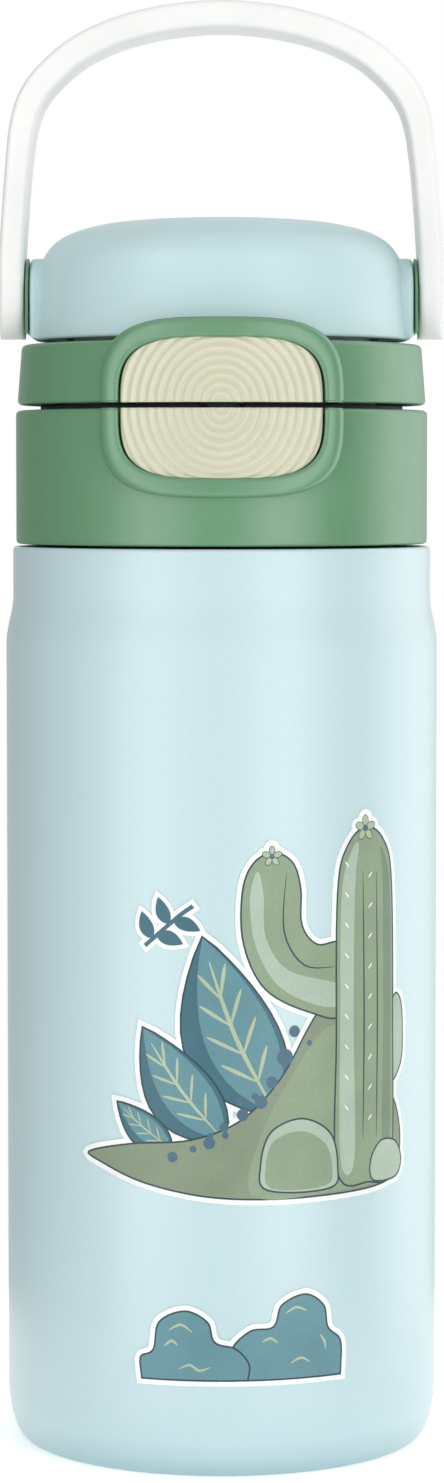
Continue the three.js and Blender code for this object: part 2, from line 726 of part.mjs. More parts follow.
const PIECES = [
  ['outer_shell', outerShell, powderCoat],
  ['threaded_neck', threadedNeck, brushedSteel],
  ['inner_liner', innerLiner, brushedSteel],
  ['base_plate', basePlate, brushedSteel],
  ['vacuum_getter', vacuumGetter, getterAlloy],
  ['garden_sticker', () => sticker(GARDEN_OUTLINE), printedFilm],
  ['bush_sticker', () => sticker(BUSH_OUTLINE), tealFilm],
  ['sprig_sticker', () => sticker(SPRIG_OUTLINE), tealFilm],
  ['collar', collar, greenPlastic],
  ['thread_core', threadCore, darkGreenPlastic],
  ['neck_seal', neckSeal, frostedSilicone],
  ['drinking_spout', drinkingSpout, whitePlastic],
  ['lower_bezel', lowerBezel, greenPlastic],
  ['lower_button', lowerButton, creamPlastic],
  ['lower_latch_hook', () => latchHook(LOWER_LATCH), creamPlastic],
  ['lower_button_spring', () => buttonSpring(LOWER_LATCH.springZ), springSteel],
  ['lower_hinge_pin', () => hingePin(LOWER_HINGE), springSteel],
  ['lower_hinge_spring', () => hingeSpring(LOWER_HINGE), springSteel],
  ['mid_ring', midRing, greenPlastic],
  ['straw_deck', strawDeck, whitePlastic],
  ['spout_stopper', spoutStopper, whitePlastic],
  ['deck_latch', deckLatch, darkGreenPlastic],
  ['mouth_seal', mouthSeal, frostedSilicone],
  ['straw_nozzle', strawNozzle, frostedSilicone],
  ['straw_tube', strawTube, frostedSilicone],
  ['vent_valve', ventValve, frostedSilicone],
  ['upper_button', upperButton, creamPlastic],
  ['upper_latch_hook', () => latchHook(UPPER_LATCH), creamPlastic],
  ['upper_button_spring', () => buttonSpring(UPPER_LATCH.springZ), springSteel],
  ['upper_hinge_pin', () => hingePin(UPPER_HINGE), springSteel],
  ['upper_hinge_spring', () => hingeSpring(UPPER_HINGE), springSteel],
  ['dome_cap', domeCap, paleBluePlastic],
  ['dome_latch', domeLatch, darkGreenPlastic],
  ['dome_liner', domeLiner, whitePlastic],
  ['nozzle_plug', nozzlePlug, frostedSilicone],
  ['left_pivot_pin', () => pivotPin(-1), whitePlastic],
  ['right_pivot_pin', () => pivotPin(1), whitePlastic],
  ['left_pivot_washer', () => pivotWasher(-1), greenPlastic],
  ['right_pivot_washer', () => pivotWasher(1), greenPlastic],
  ['carry_handle', carryHandle, whitePlastic],
];

const bottle = new THREE.Group();
bottle.name = 'kids_water_bottle';
for (const [name, build, material] of PIECES) {
  const mesh = new THREE.Mesh(geometryOf(build()), material());
  mesh.name = name;
  bottle.add(mesh);
}

export default bottle;
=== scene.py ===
"""Kids water bottle: fine surfaces, materials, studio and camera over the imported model.

Lengths in the tables below are millimetres and are scaled to metres when a mesh is made.
+Z is up, the front with the two buttons faces -Y.
"""
import contextlib
import math

import bmesh
import bpy
import numpy
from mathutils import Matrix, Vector
from mathutils.geometry import delaunay_2d_cdt


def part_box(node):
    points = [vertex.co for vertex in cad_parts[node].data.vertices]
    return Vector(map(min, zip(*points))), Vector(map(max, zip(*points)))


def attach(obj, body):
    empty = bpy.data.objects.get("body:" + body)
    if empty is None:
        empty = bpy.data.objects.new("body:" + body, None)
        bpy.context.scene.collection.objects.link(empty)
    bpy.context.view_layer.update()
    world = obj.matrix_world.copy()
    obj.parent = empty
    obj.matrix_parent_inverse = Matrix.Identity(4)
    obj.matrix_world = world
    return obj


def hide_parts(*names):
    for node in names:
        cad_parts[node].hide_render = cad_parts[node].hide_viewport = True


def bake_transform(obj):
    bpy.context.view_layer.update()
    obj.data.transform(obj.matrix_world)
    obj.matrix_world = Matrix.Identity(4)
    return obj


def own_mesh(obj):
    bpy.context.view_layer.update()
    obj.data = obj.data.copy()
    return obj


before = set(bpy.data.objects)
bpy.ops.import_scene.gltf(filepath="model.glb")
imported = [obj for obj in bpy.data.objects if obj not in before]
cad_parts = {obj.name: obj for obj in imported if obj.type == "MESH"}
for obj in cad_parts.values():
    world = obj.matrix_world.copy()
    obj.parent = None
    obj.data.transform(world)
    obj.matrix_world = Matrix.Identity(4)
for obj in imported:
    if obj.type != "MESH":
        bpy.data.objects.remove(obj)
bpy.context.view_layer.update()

MM = 0.001
ROUND = 160
WELD_DISTANCE = 1e-7


def box_mm(node):
    low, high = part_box(node)
    return low / MM, high / MM


def middle_mm(node):
    low, high = box_mm(node)
    return 0.5 * (low + high)


BODY_R = box_mm("outer_shell")[1].x
SHELL_TOP = box_mm("outer_shell")[1].z
NECK_TOP = box_mm("threaded_neck")[1].z
NECK_R = 29.6
SHOULDER_R = 35.3
THREAD_START = 155.0
THREAD_TURNS = 1.5
THREAD_PITCH = 4.0
COLLAR_LOW, COLLAR_HIGH = box_mm("collar")
COLLAR_R = COLLAR_HIGH.x
COLLAR_BOTTOM = COLLAR_LOW.z
SEAM_LOW = box_mm("lower_button")[1].z - 0.1
SEAM_HIGH = box_mm("upper_button")[0].z - 0.3
RING_TOP = 185.6
DOME_TOP = box_mm("dome_cap")[1].z
DOME_BOTTOM = 186.3
PIVOT_Z = middle_mm("left_pivot_pin").z
PIVOT_BORE_R = 2.2
PAD_R = 6.8
BOSS_X = box_mm("dome_cap")[1].x
HANDLE_HIGH = box_mm("carry_handle")[1]
NOZZLE_Y = middle_mm("straw_nozzle").y
VENT_Y = middle_mm("vent_valve").y
LOWER_PIN = middle_mm("lower_hinge_pin")
UPPER_PIN = middle_mm("upper_hinge_pin")
KNUCKLE_R = 2.1
KNUCKLE_ROOM_R = 2.4
HINGE_PIN_R = 0.8
HINGE_HALF = 9.3

BEZEL_Z = 174.6
BEZEL_HALF = (19.8, 14.5)
BEZEL_RIM = 3.1
BEZEL_Y = -36.2
BEZEL_BACK_R = 31.4
ARC_R = 45.0
BUTTON_HALF = (16.35, 11.5)
BUTTON_Y = -35.6
BUTTON_THICKNESS = 1.4
BUTTON_RAYS = 150
BUTTON_STEPS = 150
BACK_STRIDE = 5
OVAL_POWER = 3.6
GROOVE_PITCH = 1.46
GROOVE_DEPTH = 0.55
FILM_R = BODY_R + 0.2
FILM_BACK_R = BODY_R + 0.03
FILM_COLUMN = 1.2
OVAL_POINTS = 28
CURVE_STEPS = 7
STRAP_THICKNESS = 4.2
STRAP_SWELL = 0.5

# Brightness of the studio round the bottle: degrees from the camera, positive to its right.
STUDIO_RING = [(-180, 1.0), (-172, 1.0), (-165, 0.6), (-135, 0.24), (-80, 0.26), (-60, 0.48), (-45, 2.6),
               (-30, 1.85), (-15, 0.55), (0, 0.1), (15, 0.85), (30, 2.9), (45, 2.2), (60, 0.05), (80, 0.0),
               (105, 2.05), (135, 1.4), (165, 0.4), (172, 1.0), (180, 1.0)]
STUDIO_PEAK = 4.0
STUDIO_TOP = 0.7
FLOOR_GLOW = 0.45
FLOOR_RADIUS = 0.13
CAMERA_PLACE = (0.00007, -0.7, 0.1637)
CAMERA_PITCH = 3.692
CAMERA_LENS = 100.1


# ---------- materials ----------

def linear(red, green, blue):
    """sRGB 0-255 to linear."""
    def one(value):
        value /= 255.0
        return value / 12.92 if value <= 0.04045 else ((value + 0.055) / 1.055) ** 2.4
    return (one(red), one(green), one(blue), 1.0)


def shader(name):
    """A new material, with its tree, its shader and the object's own coordinates."""
    material = bpy.data.materials.new(name)
    material.use_nodes = True
    tree = material.node_tree
    space = tree.nodes.new("ShaderNodeTexCoord").outputs["Object"]
    return material, tree, tree.nodes["Principled BSDF"], space


def feed(target, value):
    """Links a socket to an input, or sets the input to a plain value."""
    if isinstance(value, bpy.types.NodeSocket):
        target.id_data.links.new(value, target)
    else:
        target.default_value = value


def dial(made, **values):
    """Feeds a node's inputs, or sets its own properties; an underscore stands for a space."""
    for key, value in values.items():
        socket = key.replace("_", " ")
        if socket in made.inputs:
            feed(made.inputs[socket], value)
        else:
            setattr(made, key, value)


def node(tree, kind, **values):
    made = tree.nodes.new(kind)
    dial(made, **values)
    return made


def noise(tree, vector, scale, detail=2.0):
    return node(tree, "ShaderNodeTexNoise", Vector=vector, Scale=scale, Detail=detail).outputs["Fac"]


def ranged(tree, value, low, high, start=0.3, end=0.7, **values):
    made = node(tree, "ShaderNodeMapRange", Value=value, From_Min=start, From_Max=end, To_Min=low,
                To_Max=high, **values)
    return made.outputs["Result"]


def blend_colour(tree, factor, first, second, kind="MIX"):
    made = node(tree, "ShaderNodeMix", data_type="RGBA", blend_type=kind)
    feed(made.inputs[0], factor)
    feed(made.inputs[6], first)
    feed(made.inputs[7], second)
    return made.outputs[2]


def ramp(tree, factor, stops):
    """A colour ramp through (position, colour) stops."""
    made = tree.nodes.new("ShaderNodeValToRGB")
    feed(made.inputs[0], factor)
    elements = made.color_ramp.elements
    elements.remove(elements[0])
    for i, (position, colour) in enumerate(stops):
        stop = elements[0] if i == 0 else elements.new(position)
        stop.position = position
        stop.color = colour
    return made.outputs["Color"]


def bumped(tree, principled, height, distance, strength):
    made = node(tree, "ShaderNodeBump", Height=height, Distance=distance, Strength=strength)
    dial(principled, Normal=made.outputs["Normal"])


def shaded(colour, gain):
    return tuple(min(1.0, channel * gain) for channel in colour[:3]) + (1.0,)


def varied(tree, cloud, colour, dark, light):
    """A colour that drifts between two shades with a noise."""
    return blend_colour(tree, ranged(tree, cloud, 0, 1), shaded(colour, dark), shaded(colour, light))


def moulded(name, colour, roughness, grain=2500.0, depth=0.00002, gloss_level=0.5):
    """Moulded plastic or rubber: faint cloudiness, fine mould texture, uneven gloss."""
    material, tree, principled, space = shader(name)
    cloud = noise(tree, space, 60.0, 3.0)
    fine = noise(tree, space, grain)
    gloss = ranged(tree, noise(tree, space, 260.0, 3.0), roughness - 0.03, roughness + 0.04)
    bumped(tree, principled, fine, depth, 0.35)
    dial(principled, Base_Color=varied(tree, cloud, colour, 0.97, 1.03), Roughness=gloss,
         Specular_IOR_Level=gloss_level)
    return material


# Painted shade on the coat from the foot up, as shares of the height that the shade covers.
PAINTED_SHADE_HEIGHT = 0.06
FOOT_PAINTED_SHADE = [(0.0, (0.52, 0.64, 0.67, 1)), (0.05, (0.74, 0.81, 0.82, 1)), (0.1, (0.9, 0.93, 0.94, 1)),
              (0.2, (0.95, 0.96, 0.97, 1)), (1.0, (1, 1, 1, 1))]


def powder_coat(name, colour):
    """Baked powder paint on steel: soft orange peel, faint speckle, painted shade darkening it towards the
    foot.
    """
    material, tree, principled, space = shader(name)
    level = node(tree, "ShaderNodeSeparateXYZ")
    feed(level.inputs[0], space)
    # painted shade: the coat colour is multiplied darker towards the foot
    foot = ramp(tree, ranged(tree, level.outputs["Z"], 0, 1, 0, PAINTED_SHADE_HEIGHT), FOOT_PAINTED_SHADE)
    peel = noise(tree, space, 900.0)
    speck = noise(tree, space, 3800.0, 1.0)
    colours = varied(tree, speck, colour, 0.975, 1.02)
    bumped(tree, principled, peel, 0.00004, 0.22)
    dial(principled, Base_Color=blend_colour(tree, 1.0, colours, foot, "MULTIPLY"),
         Roughness=ranged(tree, peel, 0.38, 0.45), Specular_IOR_Level=0.5, Coat_Weight=0.85,
         Coat_Roughness=0.32)
    return material


def brushed_steel(name, tint=(0.62, 0.63, 0.64, 1.0), rough=0.3):
    """Steel turned about the bottle's axis: the brush lines run round it."""
    material, tree, principled, space = shader(name)
    stretch = node(tree, "ShaderNodeMapping", Vector=space, Scale=(40.0, 40.0, 5200.0))
    lines = noise(tree, stretch.outputs["Vector"], 1.0, 3.0)
    dial(principled, Base_Color=blend_colour(tree, lines, shaded(tint, 0.86), shaded(tint, 1.08)),
         Roughness=ranged(tree, lines, rough - 0.06, rough + 0.1), Metallic=1.0)
    bumped(tree, principled, lines, 0.00002, 0.3)
    return material


def printed_ink(name, colour, mottle=0.1):
    """Printed film: flat ink with the slight paper-like mottling of the print under a satin coat."""
    material, tree, principled, space = shader(name)
    dots = noise(tree, space, 2600.0, 4.0)
    wash = noise(tree, space, 130.0, 3.0)
    base = varied(tree, wash, colour, 1 - mottle * 0.6, 1 + mottle * 0.6)
    grain = varied(tree, dots, (1, 1, 1), 1 - mottle, 1)
    dial(principled, Base_Color=blend_colour(tree, 1.0, base, grain, "MULTIPLY"),
         Roughness=ranged(tree, dots, 0.42, 0.5))
    return material


def silicone(name, colour):
    """Matt rubber that scatters light under its surface."""
    material = moulded(name, colour, 0.5, grain=1800.0, depth=0.00003)
    dial(material.node_tree.nodes["Principled BSDF"], Subsurface_Weight=0.35, Subsurface_Scale=1.0,
         Subsurface_Radius=(0.004, 0.004, 0.0035))
    return material


BLUE_COAT = powder_coat("pale_blue_powder_coat", linear(192, 217, 221))
BLUE_PLASTIC = moulded("pale_blue_plastic", linear(191, 217, 220), 0.4)
GREEN = moulded("sage_green_plastic", linear(93, 143, 106), 0.36, gloss_level=1.0)
# painted shade: the sage green made dark for the threaded core, which sits in shadow in the seam; the latch
# tongues share it
GREEN_PAINTED_SHADE = moulded("dark_green_plastic", linear(52, 70, 58), 0.55)
CREAM = moulded("cream_plastic", linear(210, 209, 186), 0.45)
WHITE = moulded("white_plastic", linear(238, 238, 236), 0.36)
CLEAR_WHITE = silicone("frosted_silicone", linear(226, 232, 229))
STEEL = brushed_steel("brushed_steel")
WIRE = brushed_steel("spring_steel", (0.5, 0.5, 0.52, 1.0), 0.28)
GETTER = brushed_steel("sintered_getter", (0.2, 0.2, 0.21, 1.0), 0.65)


# ---------- meshes ----------

def around(count):
    """Equal angles once round."""
    return [2 * math.pi * k / count for k in range(count)]


def band(low, high, count):
    """Faces between two rings of points, given by the number of each ring's first point."""
    return [[low + k, low + (k + 1) % count, high + (k + 1) % count, high + k] for k in range(count)]


def build(name, vertices, faces, materials, slots=None, sharp=38.0):
    """One mesh object from millimetre coordinates, smooth except across edges sharper than the limit."""
    mesh = bpy.data.meshes.new(name)
    mesh.from_pydata([(x * MM, y * MM, z * MM) for x, y, z in vertices], [], faces)
    for material in materials:
        mesh.materials.append(material)
    if slots:
        mesh.polygons.foreach_set("material_index", slots)
    obj = added(name, mesh)
    soften(obj, sharp)
    return obj


def added(name, data):
    """A new object in the scene."""
    obj = bpy.data.objects.new(name, data)
    bpy.context.scene.collection.objects.link(obj)
    return obj


@contextlib.contextmanager
def edited(mesh):
    """Opens a mesh as a bmesh and writes it back at the end."""
    shell = bmesh.new()
    shell.from_mesh(mesh)
    yield shell
    shell.to_mesh(mesh)
    shell.free()


def soften(obj, sharp=38.0):
    """Points the normals outwards and shades smooth, except across edges sharper than the limit."""
    limit = math.radians(sharp)
    with edited(obj.data) as shell:
        bmesh.ops.recalc_face_normals(shell, faces=shell.faces)
        for face in shell.faces:
            face.smooth = True
        for edge in shell.edges:
            edge.smooth = len(edge.link_faces) == 2 and edge.calc_face_angle() < limit


def place(obj, body, slot, *nodes):
    """Says which body a piece rides and hides the nodes that it stands for; the slot is not used."""
    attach(obj, body)
    if nodes:
        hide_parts(*nodes)
    return obj


def joined(name, objects):
    """Joins meshes of one piece; they may overlap inside."""
    bpy.ops.object.select_all(action="DESELECT")
    for obj in objects:
        obj.select_set(True)
    bpy.context.view_layer.objects.active = objects[0]
    bpy.ops.object.join()
    objects[0].name = name
    objects[0].data.name = name
    return objects[0]


def rounded(points, closed=True, steps=4):
    """Replaces each corner (a, b, radius) with an arc; a missing radius leaves the corner sharp."""
    result = []
    count = len(points)
    for i, point in enumerate(points):
        radius = point[2] if len(point) > 2 else 0
        here = Vector(point[:2])
        if radius <= 0 or (not closed and i in (0, count - 1)):
            result.append(tuple(here))
            continue
        before = (Vector(points[i - 1][:2]) - here)
        after = (Vector(points[(i + 1) % count][:2]) - here)
        half = before.angle(after) / 2
        reach = min(radius / math.tan(half), before.length * 0.49, after.length * 0.49)
        start = here + before.normalized() * reach
        end = here + after.normalized() * reach
        for k in range(steps + 1):
            t = k / steps
            arc = start.lerp(here, t).lerp(here.lerp(end, t), t)
            result.append(tuple(arc))
    return result


def lathe(name, profile, material, closed=True, segments=ROUND, centre_y=0.0):
    """Spins (radius, z) points about a vertical axis."""
    vertices, rings = [], []
    for radius, z in profile:
        if radius < 1e-6:
            rings.append([len(vertices)] * segments)
            vertices.append((0, centre_y, z))
            continue
        rings.append(list(range(len(vertices), len(vertices) + segments)))
        for angle in around(segments):
            vertices.append((radius * math.sin(angle), centre_y - radius * math.cos(angle), z))
    faces = []
    spans = len(rings) if closed else len(rings) - 1
    for i in range(spans):
        low, high = rings[i], rings[(i + 1) % len(rings)]
        for k in range(segments):
            n = (k + 1) % segments
            corners = [low[k], low[n], high[n], high[k]]
            corners = [c for j, c in enumerate(corners) if c != corners[j - 1]]
            if len(corners) > 2:
                faces.append(corners)
    return build(name, vertices, faces, [material])


def loft(name, sections, material, ring=False, sharp=38.0):
    """Skins equal cross-sections; ring closes the row on itself."""
    count = len(sections[0])
    vertices = [point for section in sections for point in section]
    faces = []
    for i in range(len(sections) if ring else len(sections) - 1):
        faces += band(i * count, (i + 1) % len(sections) * count, count)
    if not ring:
        faces.append(list(range(count)))
        faces.append(list(range(len(vertices) - count, len(vertices)))[::-1])
    return build(name, vertices, faces, [material], sharp=sharp)


def turned(node_name, body, slot, material, corners, steps=4, **options):
    """A turned piece that stands for one node, from the corners of its section."""
    profile = rounded(corners, steps=steps)
    place(lathe(f"{node_name}_fine", profile, material, **options), body, slot, node_name)


def rod_x(name, radius, x0, x1, y, z, material, edge=0.25, segments=32):
    """A rod along X with rounded ends."""
    profile = [(0, x0), (radius - edge, x0), (radius - edge * 0.3, x0 + edge * 0.3), (radius, x0 + edge),
               (radius, x1 - edge), (radius - edge * 0.3, x1 - edge * 0.3), (radius - edge, x1), (0, x1)]
    vertices, faces, rings = [], [], []
    for r, x in profile:
        rings.append(len(vertices))
        for angle in around(segments):
            vertices.append((x, y + r * math.cos(angle), z + r * math.sin(angle)))
    for low, high in zip(rings, rings[1:]):
        faces += band(low, high, segments)
    obj = build(name, vertices, faces, [material])
    weld(obj)
    return obj


def weld(obj):
    """Merges points that coincide, such as a rod's end ring on its axis."""
    with edited(obj.data) as shell:
        bmesh.ops.remove_doubles(shell, verts=shell.verts, dist=WELD_DISTANCE)
        bmesh.ops.dissolve_degenerate(shell, edges=shell.edges, dist=WELD_DISTANCE)
    soften(obj)


def slab(name, low, high, material, edge=0.3):
    """A block with rounded edges."""
    mesh = bpy.data.meshes.new(name)
    with edited(mesh) as shell:
        bmesh.ops.create_cube(shell, size=1.0)
        for vert in shell.verts:
            vert.co = Vector([(low[i] if vert.co[i] < 0 else high[i]) * MM for i in range(3)])
        bmesh.ops.bevel(shell, geom=shell.edges[:], offset=edge * MM, segments=3, affect="EDGES")
    mesh.materials.append(material)
    obj = added(name, mesh)
    soften(obj)
    return obj


def carve(obj, cutters):
    """Cuts the cutters out of obj and deletes them."""
    for cutter in cutters:
        modifier = obj.modifiers.new("cut", "BOOLEAN")
        modifier.operation = "DIFFERENCE"
        modifier.solver = "EXACT"
        modifier.object = cutter
    bpy.context.view_layer.update()
    evaluated = obj.evaluated_get(bpy.context.evaluated_depsgraph_get())
    mesh = bpy.data.meshes.new_from_object(evaluated)
    obj.modifiers.clear()
    obj.data = mesh
    for cutter in cutters:
        bpy.data.objects.remove(cutter)
    soften(obj)
    return obj


def superellipse(half_width, half_height, centre_z, count=96):
    """The squared oval of the rim and the buttons."""
    def power(value):
        return math.copysign(abs(value) ** (2 / OVAL_POWER), value)
    return [(half_width * power(math.cos(angle)), centre_z + half_height * power(math.sin(angle)))
            for angle in around(count)]


def front_y(x, crown):
    """Y of the bowed front at x, where crown is the most forward point."""
    return crown + ARC_R - math.sqrt(ARC_R ** 2 - x ** 2)


def prism_y(points, back):
    """Cutter that reaches from well in front of the bottle to a depth inside it."""
    sections = [[(x, y, z) for x, z in points] for y in (-42, back)]
    return loft("cutter", sections, None)


# ---------- flask ----------

def shell_profile():
    """Outside of the flask, from the foot's inner edge up to the neck; an open surface with no inner side."""
    flat, rise = 33.1, 10
    turns = [math.pi / 2 * k / 14 for k in range(15)]
    corner = [(flat + (BODY_R - flat) * math.sin(a), rise - rise * math.cos(a)) for a in turns]
    waist = []
    for k in range(13):
        t = k / 12
        waist.append((BODY_R - (BODY_R - SHOULDER_R) * t * t * (3 - 2 * t), 135.5 + 8 * t))
    wall = [(BODY_R, z) for z in (30, 60, 90, 115)]
    top = rounded([(SHOULDER_R, 146), (SHOULDER_R, SHELL_TOP, 1.2), (33.9, SHELL_TOP)], closed=False)
    return [(30.6, 2.0), (30.6, 0.25), (30.75, 0.06), (31.0, 0)] + corner + wall + waist + top


def flask():
    """The coated shell, the threaded neck, the liner, the base plate and the getter."""
    coat = lathe("flask_coat", shell_profile(), BLUE_COAT, closed=False, segments=192)
    place(coat, "flask", "powder_coat", "outer_shell")
    neck = lathe("flask_neck", rounded([
        (33.9, SHELL_TOP), (NECK_R, SHELL_TOP, 0.5), (NECK_R, NECK_TOP, 0.35), (28.8, NECK_TOP, 0.2),
        (28.8, 150.6), (33.9, 150.6),
    ]), STEEL)
    ridge = thread("neck_thread", NECK_R - 0.2, 30.5, STEEL)
    place(joined("flask_neck", [neck, ridge]), "flask", "steel", "threaded_neck")
    liner = [
        (0, 5), (28.5, 5, 3), (33.2, 8.5, 3), (33.2, 134, 8), (32.3, 141, 8), (32.3, 146.6, 2),
        (28.4, 150.3, 2), (28.4, NECK_TOP, 0.25), (27.8, NECK_TOP, 0.25), (27.8, 150, 2), (31.7, 146.3, 2),
        (31.7, 141, 8), (32.6, 134, 8), (32.6, 8.8, 3), (28.3, 5.6, 3), (0, 5.6),
    ]
    turned("inner_liner", "flask", "steel", STEEL, liner, steps=5, closed=False)
    plate = [
        (0, 1.9), (5, 1.9, 1), (6, 1.5, 1), (30.3, 1.5, 0.25), (30.3, 2.1), (6.2, 2.1), (5.2, 2.5), (0, 2.5),
    ]
    turned("base_plate", "flask", "steel", STEEL, plate, closed=False, segments=96)
    pellet = rounded([(0, 3.1), (4, 3.1, 0.3), (4, 4.7, 0.3), (0, 4.7)])
    getter = lathe("getter_pellet", pellet, GETTER, closed=False, segments=48)
    place(getter, "flask", "getter", "vacuum_getter")


def thread(name, root, crest, material):
    """A screw thread whose ends run out into the wall."""
    steps = int(THREAD_TURNS * 96)
    sections = []
    for i in range(steps + 1):
        turn = i / steps * THREAD_TURNS
        fade = min(1.0, turn / 0.06, (THREAD_TURNS - turn) / 0.06)
        tip = root + (crest - root) * max(0.02, fade)
        angle = turn * 2 * math.pi
        z = THREAD_START + turn * THREAD_PITCH
        profile = [(root, -0.9), (root + (tip - root) * 0.8, -0.5), (tip, -0.25), (tip, 0.25),
                   (root + (tip - root) * 0.8, 0.5), (root, 0.9)]
        sections.append([(r * math.cos(angle), r * math.sin(angle), z + rise) for r, rise in profile])
    return loft(name, sections, material)


# ---------- collar, ring, bezel, buttons ----------

def bezel_half(name, below):
    """Half of the raised oval rim: a rounded bead swept round the oval, then cut at the seam."""
    rim = BEZEL_RIM
    section = [(0, None), (0, 1.5), (0.06, 1.0), (0.25, 0.55), (0.55, 0.22), (1.0, 0.05), (1.5, 0.0),
               (rim - 0.75, 0.03), (rim - 0.4, 0.14), (rim - 0.15, 0.35), (rim, 0.7), (rim, None)]
    sections = []
    for across, up in superellipse(1, 1, 0, 220):
        ring = []
        for inset, drop in section:
            x = across * (BEZEL_HALF[0] - inset)
            z = BEZEL_Z + up * (BEZEL_HALF[1] - inset)
            y = -math.sqrt(BEZEL_BACK_R ** 2 - x ** 2) if drop is None else front_y(x, BEZEL_Y) + drop
            ring.append((x, y, z))
        sections.append(ring)
    obj = loft(name, sections, GREEN, ring=True)
    level = SEAM_LOW if below else SEAM_HIGH
    with edited(obj.data) as shell:
        cut = bmesh.ops.bisect_plane(
            shell, geom=shell.verts[:] + shell.edges[:] + shell.faces[:], plane_co=(0, 0, level * MM),
            plane_no=(0, 0, 1 if below else -1), clear_outer=True)
        rims = [item for item in cut["geom_cut"] if isinstance(item, bmesh.types.BMEdge)]
        filled = bmesh.ops.holes_fill(shell, edges=rims)["faces"]
        edges = list({edge for face in filled for edge in face.edges if edge.calc_length() < 0.003})
        bmesh.ops.bevel(shell, geom=edges, offset=0.3 * MM, segments=3, affect="EDGES", clamp_overlap=True)
    soften(obj)
    return obj


def hinge_leaf(name, pin, pairs, y_span, z_span, material):
    """Knuckles on a hinge's axis, each with the web that joins it to its lid."""
    pieces = []
    for i, (x0, x1) in enumerate(pairs):
        pieces.append(rod_x(f"{name}_knuckle_{i}", KNUCKLE_R, x0, x1, pin.y, pin.z, material, 0.3, 48))
        low, high = (x0, y_span[0], z_span[0]), (x1, y_span[1], z_span[1])
        pieces.append(slab(f"{name}_web_{i}", low, high, material))
    return pieces


OUTER_PAIR = [(-HINGE_HALF, -5.0), (5.0, HINGE_HALF)]
INNER_PAIR = [(-4.7, -2.6), (2.6, 4.7)]


def well_cutter():
    """Cutter for the oval opening behind the buttons."""
    return prism_y(superellipse(BEZEL_HALF[0] - 1.2, BEZEL_HALF[1] - 1.2, BEZEL_Z), -29.2)


def relief(pin):
    """Cutter for the room round the other lid's knuckles."""
    reach = HINGE_HALF + 0.4
    return rod_x("cutter", KNUCKLE_ROOM_R, -reach, reach, pin.y, pin.z, None, 0.05, 48)


def collar():
    """The lower green ring, its hinge knuckles and the lower half of the oval rim."""
    wall = lathe("collar_fine", rounded([
        (33.25, COLLAR_BOTTOM, 0.2), (COLLAR_R, COLLAR_BOTTOM, 0.9), (COLLAR_R, SEAM_LOW, 0.9),
        (31.2, SEAM_LOW, 0.3), (31.2, 173.2), (33.25, 173.2),
    ], steps=6), GREEN, segments=192)
    carve(wall, [well_cutter(), relief(LOWER_PIN)])
    parts = [wall]
    parts += hinge_leaf("low", LOWER_PIN, OUTER_PAIR, (33.4, 36.2), (169.5, LOWER_PIN.z), GREEN)
    place(joined("collar_fine", parts), "screw_collar", "green", "collar")
    place(bezel_half("lower_bezel_fine", True), "screw_collar", "green", "lower_bezel")


def core():
    """The threaded core inside the collar, cut away behind the lower button."""
    # painted shade: the core is dark green because it lies in shadow inside the seam
    wall = lathe("thread_core_fine", rounded([
        (31.8, 152.6, 0.2), (32.95, 152.6, 0.2), (32.95, 172, 0.2), (30.6, 172), (30.6, 175.4, 0.3),
        (28.2, 175.4, 0.3), (28.2, 170.5, 0.2), (31, 170.5), (31, 164.6), (31.8, 164),
    ]), GREEN_PAINTED_SHADE)
    flat = slab("cutter", (-20, -40, 162.6), (20, -32.2, 180), None, edge=0.01)
    slot = slab("cutter", (-3.4, -40, 170.8), (3.4, -27.9, 180), None, edge=0.01)
    carve(wall, [flat, slot])
    ridge = thread("core_thread", 31.95, 31.2, GREEN_PAINTED_SHADE)
    place(joined("thread_core_fine", [wall, ridge]), "screw_collar", "dark_green", "thread_core")


def mid_ring():
    """The upper green ring, with knuckles of both hinges and the upper half of the oval rim."""
    wall = lathe("mid_ring_fine", rounded([
        (32.3, SEAM_HIGH, 0.2), (34.5, SEAM_HIGH, 0.9), (33.72, RING_TOP, 1.0), (25.4, RING_TOP, 0.3),
        (25.4, 184.1), (32.3, 184.1),
    ], steps=6), GREEN, segments=192)
    latch = slab("cutter", (-3.4, -40, 181), (3.4, -26.9, 186.4), None, edge=0.01)
    well = slab("cutter", (-9.7, 30, 184.2), (9.7, 40, 190), None, edge=0.01)
    carve(wall, [well_cutter(), latch, relief(LOWER_PIN), relief(UPPER_PIN), well])
    parts = [wall, bezel_half("bezel_high", False)]
    parts += hinge_leaf("mid_low", LOWER_PIN, INNER_PAIR, (32.8, 36.2), (LOWER_PIN.z, 180), GREEN)
    parts += hinge_leaf("mid_high", UPPER_PIN, OUTER_PAIR, (29.2, 32.9), (182.6, UPPER_PIN.z), GREEN)
    place(joined("mid_ring_fine", parts), "middle_lid", "green", "mid_ring")


def groove(radius):
    """Depth of the concentric ripples at a distance from the button's seam edge."""
    phase = (radius / GROOVE_PITCH) % 1.0
    trough = abs(phase - 0.5) * 2
    return GROOVE_DEPTH * (1 - trough) ** 1.3


def button_front(seam, side):
    """Points of the rippled front, ray by ray from the middle of the seam edge."""
    points = []
    for i in range(BUTTON_RAYS + 1):
        angle = math.pi * i / BUTTON_RAYS
        reach = edge_reach(angle, seam, side)
        for j in range(BUTTON_STEPS + 1):
            radius = reach * j / BUTTON_STEPS
            x = radius * math.cos(angle)
            z = seam + side * radius * math.sin(angle)
            rim = reach - radius
            drop = groove(radius) * min(1.0, rim / 0.5)
            drop += round_over(rim, 0.7) + round_over(side * (z - seam), 0.2)
            points.append((x, front_y(x, BUTTON_Y) + drop, z))
    return points


